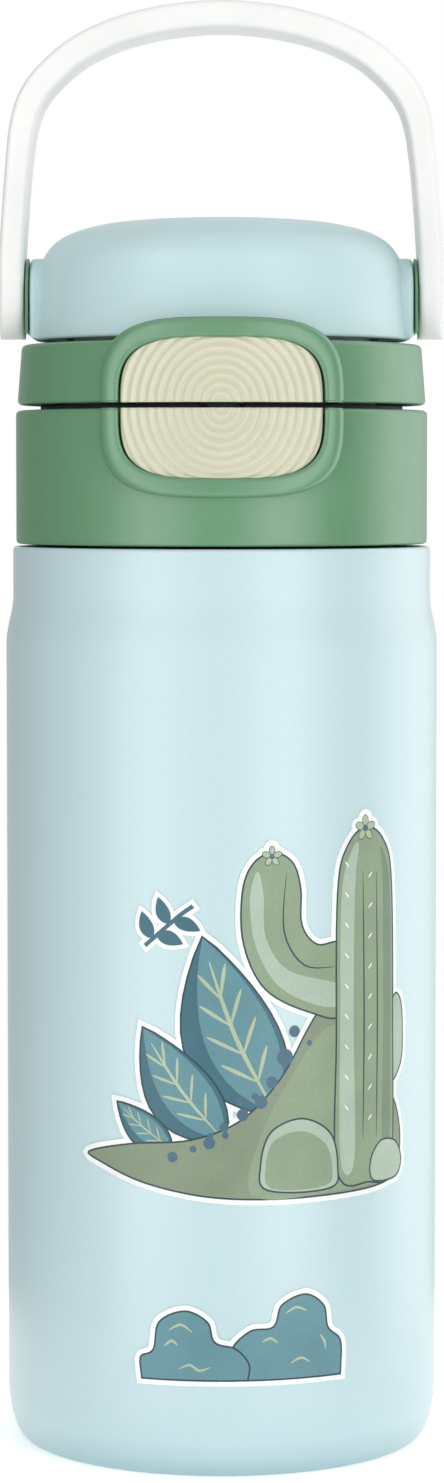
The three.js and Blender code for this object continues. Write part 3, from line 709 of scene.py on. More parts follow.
def button_faces(base):
    """Faces of the front, of the coarser back whose points start at base, and of the walls between."""
    row = BUTTON_STEPS + 1
    back_row = BUTTON_STEPS // BACK_STRIDE + 1
    faces = []
    for i in range(BUTTON_RAYS):
        for j in range(BUTTON_STEPS):
            faces.append([i * row + j, i * row + j + 1, (i + 1) * row + j + 1, (i + 1) * row + j])
    for i in range(BUTTON_RAYS):
        near, far = base + i * back_row, base + (i + 1) * back_row
        for j in range(back_row - 1):
            faces.append([near + j, far + j, far + j + 1, near + j + 1])
        faces.append([(i + 1) * row - 1, near + back_row - 1, far + back_row - 1, (i + 2) * row - 1])
    for i in (0, BUTTON_RAYS):
        near = base + i * back_row
        for j in range(back_row - 1):
            front = [i * row + j * BACK_STRIDE + k for k in range(BACK_STRIDE + 1)]
            faces.append(front + [near + j + 1, near + j])
    return faces


def button(level, seam, side):
    """Half an oval plate with ripples centred on its seam edge."""
    front = button_front(seam, side)
    kept = [point for k, point in enumerate(front) if k % (BUTTON_STEPS + 1) % BACK_STRIDE == 0]
    back = [(x, front_y(x, BUTTON_Y) + BUTTON_THICKNESS, z) for x, _, z in kept]
    plate = build(f"{level}_button_fine", front + back, button_faces(len(front)), [CREAM], sharp=60)
    weld(plate)
    place(plate, f"{level}_push_button", "cream", f"{level}_button")


def latch_hook(level, low, back, body):
    """The hook behind a button, which reaches in under the lip of the lid above."""
    stem = slab("stem", (-2.5, -33.8, low), (2.5, back, low + 1), CREAM, edge=0.15)
    hook = slab("hook", (-2.5, back - 1.1, low), (2.5, back, low + 2.5), CREAM, edge=0.2)
    place(joined(f"{level}_hook_fine", [stem, hook]), body, "cream", f"{level}_latch_hook")


def tongue(node_name, front, low, high, body):
    """The tongue behind a seam, with the lip that the hook below it catches."""
    strip = slab("strip", (-2.5, front, low), (2.5, front + 1, high), GREEN_PAINTED_SHADE)
    lip = slab("lip", (-2.5, front + 0.5, low), (2.5, front + 1.3, low + 0.7), GREEN_PAINTED_SHADE, edge=0.2)
    parts = [strip, lip]
    if node_name == "deck_latch":
        parts.append(slab("spring_pad", (-2.5, front - 0.1, 176.4), (2.5, front + 1.4, high), GREEN_PAINTED_SHADE))
    place(joined(f"{node_name}_fine", parts), body, "dark_green", node_name)


def edge_reach(angle, seam, side):
    """Distance from the middle of the seam edge to the button's outline in one direction."""
    low, high = 0.0, 22.0
    for _ in range(40):
        middle = 0.5 * (low + high)
        x = abs(middle * math.cos(angle)) / BUTTON_HALF[0]
        z = abs(seam + side * middle * math.sin(angle) - BEZEL_Z) / BUTTON_HALF[1]
        if x ** OVAL_POWER + z ** OVAL_POWER < 1:
            low = middle
        else:
            high = middle
    return low


def round_over(distance, radius):
    """How far a rounded edge falls back at a distance inside it."""
    if distance >= radius:
        return 0.0
    inset = 1 - max(0.0, distance) / radius
    return radius * (1 - math.sqrt(max(0.0, 1 - inset * inset)))


def coil_spring(name, start, axis, radius, wire, length, turns, body, node_name, joint=None):
    """A wire coil swept from start along its axis; a named joint gives it a mesh of its own."""
    steps = int(turns * 24)
    sections = []
    side = Vector((0, 0, 1)) if abs(axis.z) < 0.5 else Vector((1, 0, 0))
    other = axis.cross(side)
    for i in range(steps + 1):
        t = i / steps
        angle = 2 * math.pi * turns * t
        out = side * math.cos(angle) + other * math.sin(angle)
        centre = start + axis * (length * t) + out * radius
        sections.append([tuple(centre + (out * math.cos(b) + axis * math.sin(b)) * wire)
                         for b in around(8)])
    coil = loft(name, sections, WIRE)
    place(coil, body, "spring", node_name)
    if joint:
        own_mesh(coil)


def small_metal():
    """The hinge pins, their torsion springs and the springs behind the buttons."""
    for level, pin, body in (("lower", LOWER_PIN, "screw_collar"), ("upper", UPPER_PIN, "middle_lid")):
        rod = rod_x(f"{level}_pin_fine", HINGE_PIN_R, -HINGE_HALF, HINGE_HALF, pin.y, pin.z, WIRE)
        place(rod, body, "spring", f"{level}_hinge_pin")
        start = Vector((-1.8, pin.y, pin.z))
        coil_spring(f"{level}_torsion_coil", start, Vector((1, 0, 0)), 1.5, 0.2, 3.6, 6, body,
                    f"{level}_hinge_spring")
        start = Vector((0, -33.97, middle_mm(f"{level}_button_spring").z))
        coil_spring(f"{level}_button_coil", start, Vector((0, 1, 0)), 1.55, 0.17, 1.54, 3.25,
                    body, f"{level}_button_spring", joint=f"{level}_press")


# ---------- seals, spout, deck and straw ----------

def inner_lid():
    """The turned pieces between the neck and the dome, and the straw."""
    seal = [(27.4, 166.9, 0.5), (29.3, 166.9, 0.5), (29.3, 168.4, 0.3), (27.4, 168.4, 0.3)]
    turned("neck_seal", "seal_ring", "silicone", CLEAR_WHITE, seal)
    spout = [
        (24.2, 168.7, 0.4), (30.6, 168.7, 0.3), (30.6, 170.2, 0.3), (26, 170.2, 0.6), (26, 177, 0.9),
        (24.2, 177, 0.9),
    ]
    turned("drinking_spout", "spout_ring", "white", WHITE, spout, steps=6)
    deck = rounded([
        (0, 179.2), (31.9, 179.2, 0.3), (31.9, 180.8, 0.3), (25, 180.8, 0.4), (25, 187.2, 0.6),
        (23.4, 187.2, 0.6), (23.4, 180.8, 1.2), (0, 180.8),
    ], steps=5)
    plate = lathe("straw_deck_fine", deck, WHITE, closed=False)
    carve(plate, [deck_bore(5.9, NOZZLE_Y), deck_bore(1.8, VENT_Y)])
    place(plate, "middle_lid", "white", "straw_deck")
    skirt = [(21.4, 174.4, 0.4), (22.8, 174.4, 0.7), (22.8, 178.9, 0.2), (21.4, 178.9, 0.2)]
    turned("spout_stopper", "middle_lid", "white", WHITE, skirt)
    gasket = [(23.9, 177.3, 0.5), (26.6, 177.3, 0.5), (26.6, 178.9, 0.3), (23.9, 178.9, 0.3)]
    turned("mouth_seal", "middle_lid", "silicone", CLEAR_WHITE, gasket)
    nozzle = [
        (3.2, 177, 0.3), (5.3, 177, 0.3), (5.3, 181.1), (8, 181.1, 0.3), (8, 182, 0.4), (6.2, 182.9, 1.5),
        (5.6, 190, 6), (6.2, 195.4, 5), (6, 199, 1.4), (5.2, 200.2, 0.8), (3.2, 200.2, 0.6),
    ]
    turned("straw_nozzle", "middle_lid", "silicone", CLEAR_WHITE, nozzle, steps=6, segments=64,
           centre_y=NOZZLE_Y)
    valve = [
        (0, 177), (2.3, 177.6, 0.5), (2.3, 178.9, 0.2), (1.4, 178.9), (1.4, 181.1), (3.4, 181.1, 0.2),
        (2.6, 182, 0.5), (0, 182.4),
    ]
    turned("vent_valve", "middle_lid", "silicone", CLEAR_WHITE, valve, closed=False, segments=48,
           centre_y=VENT_Y)
    straw()


def deck_bore(radius, centre_y):
    """Cutter for a round hole through the deck."""
    profile = [(0, 170), (radius, 170), (radius, 186), (0, 186)]
    return lathe("cutter", profile, None, closed=False, segments=64, centre_y=centre_y)


def straw():
    """A soft tube with many rings."""
    low, high = 8.0, 176.7
    rings = 90
    outer = [(4.6, low + (high - low) * k / rings) for k in range(rings + 1)]
    inner = [(3.2, z) for _, z in reversed(outer)]
    tube = lathe("straw_tube_fine", outer + inner, CLEAR_WHITE, segments=40, centre_y=NOZZLE_Y)
    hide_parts("straw_tube")
    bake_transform(tube)


# ---------- dome and handle ----------

def smooth_line(points, steps=6):
    """Catmull-Rom curve through open points."""
    padded = [points[0]] + list(points) + [points[-1]]
    result = []
    for i in range(1, len(padded) - 2):
        p0, p1, p2, p3 = (Vector(p) for p in padded[i - 1:i + 3])
        for k in range(steps):
            t = k / steps
            result.append(tuple(0.5 * ((2 * p1) + (p2 - p0) * t + (2 * p0 - 5 * p1 + 4 * p2 - p3) * t * t
                                       + (3 * p1 - p0 - 3 * p2 + p3) * t ** 3)))
    result.append(tuple(points[-1]))
    return result


def dome():
    """The cap with its pivot pads and knuckles, its lining and the plug over the nozzle."""
    crown = smooth_line([(30.62, 196.6), (30.3, 199.2), (29.4, 201.2), (27.8, 202.9), (25.4, 204.25),
                         (22.2, 205.25), (17.6, 206.05), (9.5, 206.6), (0, DOME_TOP)])
    hollow = smooth_line([(0, 205.5), (14, 205.2), (22.8, 203.5), (27.3, 201.1), (28.6, 199.0)])
    skirt = rounded([(28.6, 199.0), (29.8, DOME_BOTTOM, 0.3), (31.55, DOME_BOTTOM, 0.6), (30.62, 196.6)],
                    closed=False, steps=5)
    skin = lathe("dome_fine", hollow + skirt[1:-1] + crown, BLUE_PLASTIC, closed=False, segments=192)
    notch = prism_y(superellipse(BEZEL_HALF[0] + 0.2, BEZEL_HALF[1] + 0.2, BEZEL_Z), -20)
    carve(skin, [notch, relief(UPPER_PIN), pivot_bore()])
    parts = [skin, boss(-1), boss(1)]
    parts += hinge_leaf("dome", UPPER_PIN, INNER_PAIR, (29.6, 32.3), (UPPER_PIN.z, 191), BLUE_PLASTIC)
    place(joined("dome_fine", parts), "dome", "pale_blue", "dome_cap")
    liner = [
        (25.8, 187, 0.3), (27.2, 187, 0.3), (27.2, 198.4, 3), (23.9, 201.8, 3), (15, 203.6, 6), (0, 204.2),
        (0, 203), (14.8, 202.4, 6), (23.1, 200.7, 3), (25.8, 197.9, 3),
    ]
    turned("dome_liner", "dome", "white", WHITE, liner, steps=6)
    plug = [
        (7, 199.1, 0.3), (8.2, 199.1, 0.3), (8.2, 202, 0.5), (0, 202), (0, 200.6), (7, 200.6, 0.4),
    ]
    turned("nozzle_plug", "dome", "silicone", CLEAR_WHITE, plug, segments=64, centre_y=NOZZLE_Y)


def pivot_bore():
    """Cutter for the pivot through both pads."""
    return rod_x("cutter", PIVOT_BORE_R, -40, 40, 0, PIVOT_Z, None, edge=0.05)


def arch_pad(name, side, steps, foot, material):
    """An arch-topped pad on the dome's flank, drilled for the pivot; steps are (distance out, edge inset)."""
    sections = []
    for x, inset in steps:
        radius = PAD_R - inset
        turns = [math.pi * k / 36 for k in range(37)]
        arch = [(radius * math.cos(a), PIVOT_Z + radius * math.sin(a)) for a in turns]
        outline = arch + [(-radius, foot + inset), (radius, foot + inset)]
        sections.append([(side * x, y, z) for y, z in outline])
    return carve(loft(name, sections, material), [pivot_bore()])


def boss(side):
    """The pad that carries the handle's pivot."""
    steps = ((26.0, 0), (BOSS_X - 0.9, 0), (BOSS_X - 0.45, 0.08), (BOSS_X - 0.15, 0.3), (BOSS_X, 0.7))
    return arch_pad("boss", side, steps, DOME_BOTTOM + 0.3, BLUE_PLASTIC)


def turned_x(name, profile, side, material, segments=72):
    """Spins (radius, x) points about the handle's pivot axis."""
    sections = [[(side * x, r * math.cos(angle), PIVOT_Z + r * math.sin(angle)) for r, x in profile]
                for angle in around(segments)]
    return loft(name, sections, material, ring=True)


def pivots():
    """The washer and the pin on each side of the handle."""
    for side, word in ((-1, "left"), (1, "right")):
        low, high = box_mm(f"{word}_pivot_washer")
        near, far = sorted((abs(low.x), abs(high.x)))
        steps = ((near, 0.15), (near + 0.12, 0), (far - 0.12, 0), (far, 0.15))
        washer = arch_pad(f"{word}_washer_fine", side, steps, DOME_BOTTOM + 1.2, GREEN)
        place(washer, "dome", "green", f"{word}_pivot_washer")
        pin = [(0.01, 27.5), (2.6, 27.5), (2.8, 27.7), (2.8, 28.2), (1.9, 28.2), (1.9, 35.5), (1.7, 35.7),
               (0.01, 35.7)]
        place(turned_x(f"{word}_pin_fine", pin, side, WHITE, 40), "dome", "white", f"{word}_pivot_pin")


# Outer line of the handle, from the pivot up to the middle of the arch.
HANDLE_OUTER = [(37.3, 193.4), (37.3, 200), (36.95, 206), (36.5, 212), (36, 218), (35.4, 222.7), (34, 227.3),
                (31, 231.7), (25.4, 236.5), (18.3, 239.9), (10.7, 241.9), (4, 242.75), (0, 242.9)]


def handle():
    """The bail: a soft-edged strap swept up one leg, over the arch and down the other."""
    half_depth = HANDLE_HIGH.y
    right = [(min(x, HANDLE_HIGH.x), min(z, HANDLE_HIGH.z)) for x, z in smooth_line(HANDLE_OUTER, 7)]
    path = right + [(-x, z) for x, z in reversed(right[:-1])]
    tail = [(path[0][0], path[0][1] - d) for d in (6.79, 6.7, 6.45, 6.0, 5.3, 4.4, 3.3, 2.2, 1.1)]
    path = tail + path + [(-x, z) for x, z in reversed(tail)]
    sections = []
    for i, (x, z) in enumerate(path):
        before = Vector(path[max(0, i - 1)])
        after = Vector(path[min(len(path) - 1, i + 1)])
        along = (after - before).normalized()
        inward = Vector((-along.y, along.x))
        below = max(0.0, PIVOT_Z - z)
        width = math.sqrt(max(0.02, half_depth ** 2 - below ** 2))
        thickness = STRAP_THICKNESS + STRAP_SWELL * min(1.0, max(0.0, (z - 214) / 16))
        sections.append(strap_section(x, z, inward, width, thickness))
    strap = loft("handle_fine", sections, WHITE, sharp=50)
    place(strap, "handle", "white", "carry_handle")


def strap_section(x, z, inward, half_width, thickness):
    """Rounded rectangle across the strap, its outer face on the path."""
    radius = min(1.5, half_width * 0.5)
    corners = [(-half_width, 0), (half_width, 0), (half_width, thickness), (-half_width, thickness)]
    outline = rounded([(a, b, radius) for a, b in corners], steps=6)
    return [(x + inward.x * depth, across, z + inward.y * depth) for across, depth in outline]


# ---------- stickers ----------

INKS = {
    "border": linear(243, 247, 246), "line": linear(44, 66, 74), "sage": linear(140, 160, 132),
    "olive": linear(133, 148, 124), "pale": linear(172, 190, 172), "teal": linear(97, 143, 153),
    "deep": linear(62, 107, 122), "vein": linear(176, 190, 160), "spot": linear(74, 108, 128),
    "shade": linear(118, 140, 115),
}


def closed_curve(points):
    """Closed Catmull-Rom curve; a point given with a third item is a corner."""
    count = len(points)
    result = []
    for i in range(count):
        p0, p1, p2, p3 = (points[(i + k - 1) % count] for k in range(4))
        start, end = Vector(p1[:2]), Vector(p2[:2])
        leave = (end - start) if len(p1) > 2 else (end - Vector(p0[:2])) * 0.5
        arrive = (end - start) if len(p2) > 2 else (Vector(p3[:2]) - start) * 0.5
        for k in range(CURVE_STEPS):
            t = k / CURVE_STEPS
            h1, h2 = 2 * t ** 3 - 3 * t ** 2 + 1, t ** 3 - 2 * t ** 2 + t
            h3, h4 = -2 * t ** 3 + 3 * t ** 2, t ** 3 - t ** 2
            result.append(tuple(start * h1 + leave * h2 + end * h3 + arrive * h4))
    return result


def outset(points, distance):
    """Moves a closed outline outwards, or inwards for a negative distance."""
    area = sum(a[0] * b[1] - b[0] * a[1] for a, b in zip(points, points[1:] + points[:1]))
    turn = 1 if area > 0 else -1
    result = []
    count = len(points)
    for i in range(count):
        before = (Vector(points[i]) - Vector(points[i - 1]))
        after = (Vector(points[(i + 1) % count]) - Vector(points[i]))
        if before.length < 1e-6 or after.length < 1e-6:
            continue
        first = Vector((before.y, -before.x)).normalized() * turn
        second = Vector((after.y, -after.x)).normalized() * turn
        middle = first + second
        if middle.length < 1e-3:
            middle = first
        middle.normalize()
        stretch = min(1.6, 1 / max(0.3, middle.dot(first)))
        result.append(tuple(Vector(points[i]) + middle * distance * stretch))
    return result


def oval(centre, width, height, tilt=0.0):
    result = []
    for angle in around(OVAL_POINTS):
        a, b = width / 2 * math.cos(angle), height / 2 * math.sin(angle)
        result.append((centre[0] + a * math.cos(tilt) - b * math.sin(tilt),
                       centre[1] + a * math.sin(tilt) + b * math.cos(tilt)))
    return result


def stroke(points, width, taper=True):
    """A pen stroke along a curve, thin at its ends."""
    line = smooth_line(points, 5)
    left, right = [], []
    for i, point in enumerate(line):
        along = (Vector(line[min(len(line) - 1, i + 1)]) - Vector(line[max(0, i - 1)])).normalized()
        across = Vector((-along.y, along.x))
        t = i / (len(line) - 1)
        half = width / 2 * (0.25 + 0.75 * math.sin(math.pi * t) if taper else 1.0)
        left.append(tuple(Vector(point) + across * half))
        right.append(tuple(Vector(point) - across * half))
    return left + right[::-1]


def inside(outline, centres):
    """Which centres an outline winds round, even where it crosses itself."""
    ring = numpy.array(outline)
    nxt = numpy.roll(ring, -1, axis=0)
    x, y = centres[:, :1], centres[:, 1:]
    side = (nxt[:, 0] - ring[:, 0]) * (y - ring[:, 1]) - (x - ring[:, 0]) * (nxt[:, 1] - ring[:, 1])
    up = (ring[:, 1] <= y) & (nxt[:, 1] > y) & (side > 0)
    down = (ring[:, 1] > y) & (nxt[:, 1] <= y) & (side < 0)
    return (up.sum(axis=1) - down.sum(axis=1)) != 0


class Sticker:
    """Layers of ink, later ones on top, cut into one flat partition and wrapped on the flask.

    The film has a front and edge walls. It has no back, so its mesh is open where it meets the coat.
    """

    def __init__(self):
        self.borders = []
        self.layers = []

    def shape(self, outline, ink, line=0.3, border=0.8):
        if border:
            self.borders.append(outset(outline, border))
        if line:
            self.layers.append((outline, "line"))
        self.layers.append((outset(outline, -line), ink))

    def mark(self, outline, ink):
        self.layers.append((outline, ink))

    def patch(self, ink, *points):
        self.shape(closed_curve(points), ink)

    def tint(self, ink, *points):
        self.mark(closed_curve(points), ink)

    def line(self, ink, width, *points):
        self.mark(stroke(points, width), ink)

    def make(self, node_name, slot_name):
        layers = [(outline, "border") for outline in self.borders] + self.layers
        names = sorted({ink for _, ink in layers})
        flat, kept = partition(layers)
        used = sorted({index for cell, _ in kept for index in cell})
        renamed = {index: i for i, index in enumerate(used)}
        vertices = []
        for level in (FILM_R, FILM_BACK_R):
            for index in used:
                arc, z = flat[index]
                vertices.append((level * math.sin(arc / BODY_R), -level * math.cos(arc / BODY_R), z))
        triangles = [[renamed[i] for i in cell] for cell, _ in kept]
        walls = edge_walls(triangles, len(used))
        slots = [names.index(layers[top][1]) for _, top in kept] + [names.index("border")] * len(walls)
        name = f"{node_name}_fine"
        inks = [printed_ink(f"ink_{ink}_{name}", INKS[ink]) for ink in names]
        place(build(name, vertices, triangles + walls, inks, slots, sharp=30), "flask", slot_name, node_name)


def partition(layers):
    """Cuts the plane along every outline; gives its points, and each inked cell with its top layer."""
    points, edges = [], []
    for outline, _ in layers:
        first, count = len(points), len(outline)
        edges += [(first + k, first + (k + 1) % count) for k in range(count)]
        points += [Vector(p) for p in outline]
    add_columns(points, edges)
    flat, _, cells, _, _, _ = delaunay_2d_cdt(points, edges, [], 0, 1e-5, False)
    centres = numpy.array([sum((flat[i] for i in cell), Vector((0, 0))) / len(cell) for cell in cells])
    highest = numpy.full(len(cells), -1)
    for order, (outline, _) in enumerate(layers):
        highest[inside(outline, centres)] = order
    return flat, [(cell, order) for cell, order in zip(cells, highest) if order >= 0]


def add_columns(points, edges):
    """Adds upright cuts close enough together for the wrapped film to follow the curve."""
    low, high = min(p.x for p in points), max(p.x for p in points)
    bottom, top = min(p.y for p in points) - 1, max(p.y for p in points) + 1
    columns = int((high - low) / FILM_COLUMN) + 2
    for k in range(columns):
        u = low + (high - low) * (k + 0.37) / columns
        edges.append((len(points), len(points) + 1))
        points += [Vector((u, bottom)), Vector((u, top))]


def edge_walls(triangles, count):
    """Walls from the film's free edges to the same points on its back, which are numbered count later."""
    sides = {}
    for triangle in triangles:
        for a, b in zip(triangle, triangle[1:] + triangle[:1]):
            key = (min(a, b), max(a, b))
            sides[key] = None if key in sides else (a, b)
    return [[b, a, a + count, b + count] for a, b in (side for side in sides.values() if side)]


def leaf(base, tip, width, bend=0.0):
    """A pointed leaf outline from base to tip."""
    base, tip = Vector(base), Vector(tip)
    along = tip - base
    across = Vector((-along.y, along.x)).normalized()
    left, right = [], []
    for k in range(13):
        t = k / 12
        half = width / 2 * math.sin(math.pi * t ** 0.8) ** 0.85 if 0 < t < 1 else 0
        middle = base + along * t + across * bend * math.sin(math.pi * t)
        left.append(tuple(middle + across * half))
        right.append(tuple(middle - across * half))
    return left + right[1:-1][::-1]


GARDEN_LEAVES = [((9, 60), (-3.2, 89.5), 16, 2.2), ((0.5, 56), (-13.2, 74.5), 11.5, 1.4),
                 ((-8, 54.5), (-17.8, 62.0), 6.0, 0.6)]
MOUND_SPOTS = [(-8, 53.2, 1.7), (-4.6, 54.6, 1.1), (-2, 55.6, 1.9), (0.6, 56.9, 1.1), (-1.8, 56.8, 0.9),
               (0.4, 58.2, 1.5), (3.4, 60.2, 1.9), (3.0, 62.4, 1.3), (6.4, 62.2, 2.1), (8.2, 65.4, 1.9),
               (5.4, 63.2, 1.1), (10.4, 69.4, 2.7), (12, 73.6, 1.8), (14.6, 71.6, 0.9)]


def garden_sticker():
    """A made-up plant scene: big veined leaves, a ribbed cactus and a spotted mound."""
    art = Sticker()
    for base, tip, width, bend in GARDEN_LEAVES:
        art.shape(leaf(base, tip, width, bend), "deep")
        foot = Vector(base) * 0.985 + Vector(tip) * 0.015
        art.mark(outset(leaf(foot, tip, width * 0.74, bend * 0.35), -0.3), "teal")
        draw_veins(art, base, tip, width, bend)
    mound(art)
    cactus(art)
    pebbles(art)
    for x, z, size in MOUND_SPOTS:
        art.mark(oval((x, z), size, size * 1.06), "spot")
    art.make("garden_sticker", "film_sage")


def mound(art):
    """The spotted slope in front, with a small pad at its right."""
    art.patch("olive", (-23.3, 53.2), (-15, 55.2), (-5, 56.2), (3, 59.4), (9.5, 66), (14.5, 74.5), (18.5, 80),
              (22, 84), (26, 70), (33, 60), (34.2, 52), (31, 47.4), (16, 46.2), (0, 46.4), (-12, 48.4),
              (-20, 51.2))
    art.tint("sage", (5, 47), (6.5, 57), (12, 67), (18, 74), (24, 72), (31, 60), (32.6, 52), (29.5, 48),
             (18, 46.8))
    art.patch("pale", (31.2, 63.5), (34.4, 66.5), (35, 71), (34.6, 76.5), (33, 78.6), (31.6, 76.8),
              (31.4, 72), (30, 70))


def cactus(art):
    """A bent arm and a tall trunk, each with a lit edge, ribs, spines and a flower on top."""
    art.patch("sage", (20.6, 76), (14.5, 76.5), (7, 80.5), (3.4, 88), (3.2, 96.5), (5, 101.2), (8.4, 103),
              (11.8, 101.2), (13.2, 96.8), (13.4, 91), (16, 87.8), (21, 87.2))
    art.tint("pale", (20, 77.4), (15, 78), (9, 81.4), (5.4, 88), (4.6, 95.5), (5.8, 99.8), (6.8, 96),
             (7.2, 89), (11, 83.6), (20, 80.8))
    art.patch("sage", (19.6, 50), (19.4, 72), (19.6, 96), (21.6, 103.6), (25.6, 106.6), (29.8, 104),
              (31.8, 97), (32.2, 74), (31.8, 50), (26, 47.6))
    art.tint("pale", (20.4, 52), (20.3, 74), (20.5, 95), (22.2, 102), (24, 103.6), (23.2, 96), (23, 74),
             (23.2, 52))
    art.tint("shade", (29.4, 52), (29.6, 74), (29.4, 97), (28.8, 103), (30.8, 99), (31.4, 90), (31.5, 70),
             (31.2, 52))
    for x in (25.0, 28.0):
        art.line("line", 0.32, (x, 55), (x + 0.2, 75), (x - 0.1, 99))
    art.line("line", 0.3, (10.6, 99.4), (10.2, 90), (13.6, 84.4), (19.2, 83.8))
    for z in range(58, 99, 5):
        art.line("border", 0.26, (26.1, z), (26.9, z + 0.9))
        art.line("border", 0.26, (22.0, z + 2), (21.2, z + 2.9))
    flower(art, (25.4, 106.2), 3.3)
    flower(art, (8.2, 102.2), 2.6)


def pebbles(art):
    """Two round stones at the foot of the slope."""
    art.patch("pale", (7.4, 47.6), (6.2, 52), (8, 57.4), (13.4, 59.4), (18.6, 56.6), (20, 51), (18.6, 47.4))
    art.tint("sage", (8.2, 48), (7.2, 52), (8.6, 55.8), (13.2, 57.2), (17.4, 55), (18.8, 51), (17.6, 48))
    art.patch("pale", (27.2, 47.8), (26.6, 51.4), (29, 54.4), (32.8, 54), (34.6, 50.8), (33, 47.8))


def draw_veins(art, base, tip, width, bend):
    """A midrib with four pairs of side veins."""
    base, tip = Vector(base), Vector(tip)
    along = tip - base
    across = Vector((-along.y, along.x)).normalized()

    def at(t, side):
        return tuple(base + along * t + across * (bend * math.sin(math.pi * t) * 0.6 + side))
    art.line("vein", width * 0.045, at(0.06, 0), at(0.45, 0), at(0.86, 0))
    for t in (0.2, 0.36, 0.52, 0.67):
        reach = width * 0.27 * math.sin(math.pi * (t + 0.1) ** 0.8)
        for side in (-1, 1):
            art.line("vein", width * 0.04, at(t, 0.1 * side), at(t + 0.09, side * reach * 0.6),
                     at(t + 0.15, side * reach))


def flower(art, centre, size):
    """Five petals round a dot."""
    for k in range(5):
        angle = math.pi / 2 + 2 * math.pi * k / 5
        petal = (centre[0] + math.cos(angle) * size * 0.36, centre[1] + math.sin(angle) * size * 0.36)
        border = 0.9 if k == 0 else 0.7
        art.shape(oval(petal, size * 0.62, size * 0.42, angle), "vein", line=0.12, border=border)
    art.mark(oval(centre, size * 0.34, size * 0.34), "spot")


BUSH_SQUIGGLES = [
    [(-8.6, 24.8), (-6.6, 25.7), (-4.8, 24.5)], [(-9.4, 22.1), (-8.2, 23), (-7.2, 22.3)],
    [(-7, 18.4), (-5.2, 19.1), (-3.6, 18.2), (-1.8, 18.8)], [(10.6, 27.4), (12.4, 28.3), (14.2, 27.6)],
    [(6.6, 22.8), (8, 23.4), (9.2, 22.6)], [(11.4, 19.1), (13.2, 19.9), (14.8, 19.1)],
    [(16.6, 23.5), (17.4, 22.3), (17.6, 21)],
]


def bush_sticker():
    """Two overlapping rounded bushes with pen squiggles."""
    art = Sticker()
    art.patch("teal", (2, 16.4, 1), (1.4, 21.5), (4.6, 24.8), (8.4, 25.4), (9.8, 28.9), (14, 30.5),
              (17.4, 28.3), (18.2, 24.6), (20.6, 22.1), (20.6, 16.4, 1))
    art.patch("teal", (-13.4, 16.4, 1), (-13.6, 20.1), (-11.4, 21.5), (-10.4, 26.1), (-6, 28.1), (-2.2, 26.3),
              (-1, 23), (2.4, 21.9), (4.6, 19.3), (4.4, 16.4, 1))
    for points in BUSH_SQUIGGLES:
        art.line("vein", 0.42, *points)
    art.make("bush_sticker", "film_teal")


def sprig_sticker():
    """A small sprig of four leaves beside the plant scene."""
    art = Sticker()
    stem = stroke([(-12.6, 87.6), (-9.4, 90.4), (-6.6, 92.8), (-4.6, 94.2)], 0.7, taper=False)
    art.shape(stem, "deep", line=0.0, border=0.7)
    for base, tip, width in (((-11.4, 88.8), (-13.2, 93.2), 2.4), ((-10.6, 89.4), (-6.2, 88.0), 2.4),
                             ((-8.6, 91.2), (-10.4, 95.6), 2.3), ((-7.8, 91.8), (-3.4, 90.2), 2.3)):
        art.shape(leaf(base, tip, width, 0.2), "deep", line=0.0, border=0.7)
    art.make("sprig_sticker", "film_teal")


# ---------- studio ----------

def backdrop():
    """Round pale table top under the bottle."""
    rim = [(FLOOR_RADIUS * math.cos(a), FLOOR_RADIUS * math.sin(a), 0) for a in around(96)]
    mesh = bpy.data.meshes.new("floor")
    mesh.from_pydata(rim, [], [list(range(len(rim)))])
    material, tree, principled, space = shader("floor_paper")
    tone = blend_colour(tree, noise(tree, space, 40.0), (0.9, 0.9, 0.9, 1), (0.93, 0.93, 0.93, 1))
    dial(principled, Base_Color=tone, Roughness=0.9, Emission_Color=(1, 1, 1, 1),
         Emission_Strength=FLOOR_GLOW)
    mesh.materials.append(material)
    added("floor", mesh)


def grey(level):
    """A light level as a share of the studio's brightest."""
    return (level / STUDIO_PEAK,) * 3 + (1,)


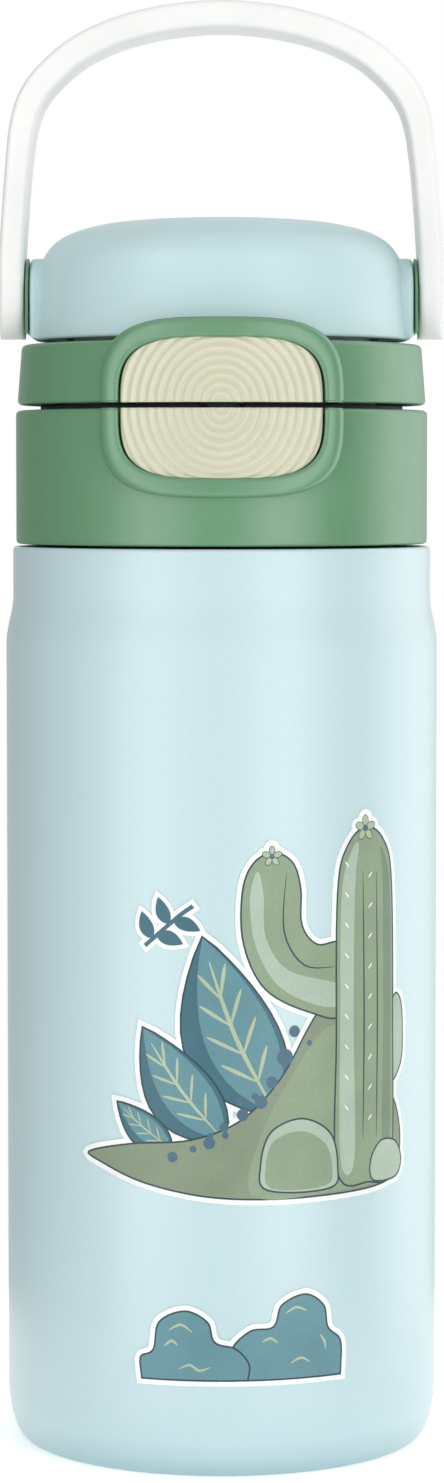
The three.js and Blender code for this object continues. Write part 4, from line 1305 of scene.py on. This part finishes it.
def studio():
    """A ring of soft light with bright strips either side of the camera, seen as a plain white backdrop."""
    world = bpy.data.worlds.new("studio_world")
    bpy.context.scene.world = world
    world.use_nodes = True
    tree = world.node_tree
    direction = tree.nodes.new("ShaderNodeSeparateXYZ")
    feed(direction.inputs[0], tree.nodes.new("ShaderNodeTexCoord").outputs["Generated"])
    forward = node(tree, "ShaderNodeMath", operation="MULTIPLY")
    feed(forward.inputs[0], direction.outputs["Y"])
    feed(forward.inputs[1], -1.0)
    azimuth = node(tree, "ShaderNodeMath", operation="ARCTAN2")
    feed(azimuth.inputs[0], direction.outputs["X"])
    feed(azimuth.inputs[1], forward.outputs[0])
    turn = ranged(tree, azimuth.outputs[0], 0, 1, -math.pi, math.pi)
    ring = ramp(tree, turn, [((degrees + 180) / 360, grey(level)) for degrees, level in STUDIO_RING])
    above = ranged(tree, direction.outputs["Z"], 0, 1, 0.6, 0.85, interpolation_type="SMOOTHSTEP")
    sky = blend_colour(tree, above, ring, grey(STUDIO_TOP))
    seen = blend_colour(tree, tree.nodes.new("ShaderNodeLightPath").outputs["Is Camera Ray"], sky, grey(1.0))
    dial(tree.nodes["Background"], Color=seen, Strength=STUDIO_PEAK)
    bpy.context.scene.view_settings.view_transform = "Standard"


def camera():
    data = bpy.data.cameras.new("camera")
    data.lens = CAMERA_LENS
    data.sensor_width = 36.0
    data.clip_start = 0.05
    obj = added("camera", data)
    obj.location = CAMERA_PLACE
    obj.rotation_euler = (math.radians(90 - CAMERA_PITCH), 0, 0)
    bpy.context.scene.camera = obj


flask()
garden_sticker()
bush_sticker()
sprig_sticker()
collar()
core()
mid_ring()
button("lower", SEAM_LOW, -1)
button("upper", SEAM_HIGH, 1)
latch_hook("lower", 171.1, -29.3, "lower_push_button")
latch_hook("upper", 181.9, -28.3, "upper_push_button")
tongue("deck_latch", -32.0, 172.4, 178.9, "middle_lid")
tongue("dome_latch", -31.0, 183.2, 189.3, "dome")
small_metal()
inner_lid()
dome()
pivots()
handle()
backdrop()
studio()
camera()


def corners(bounds):
    return [[float(value) for value in corner] for corner in bounds]
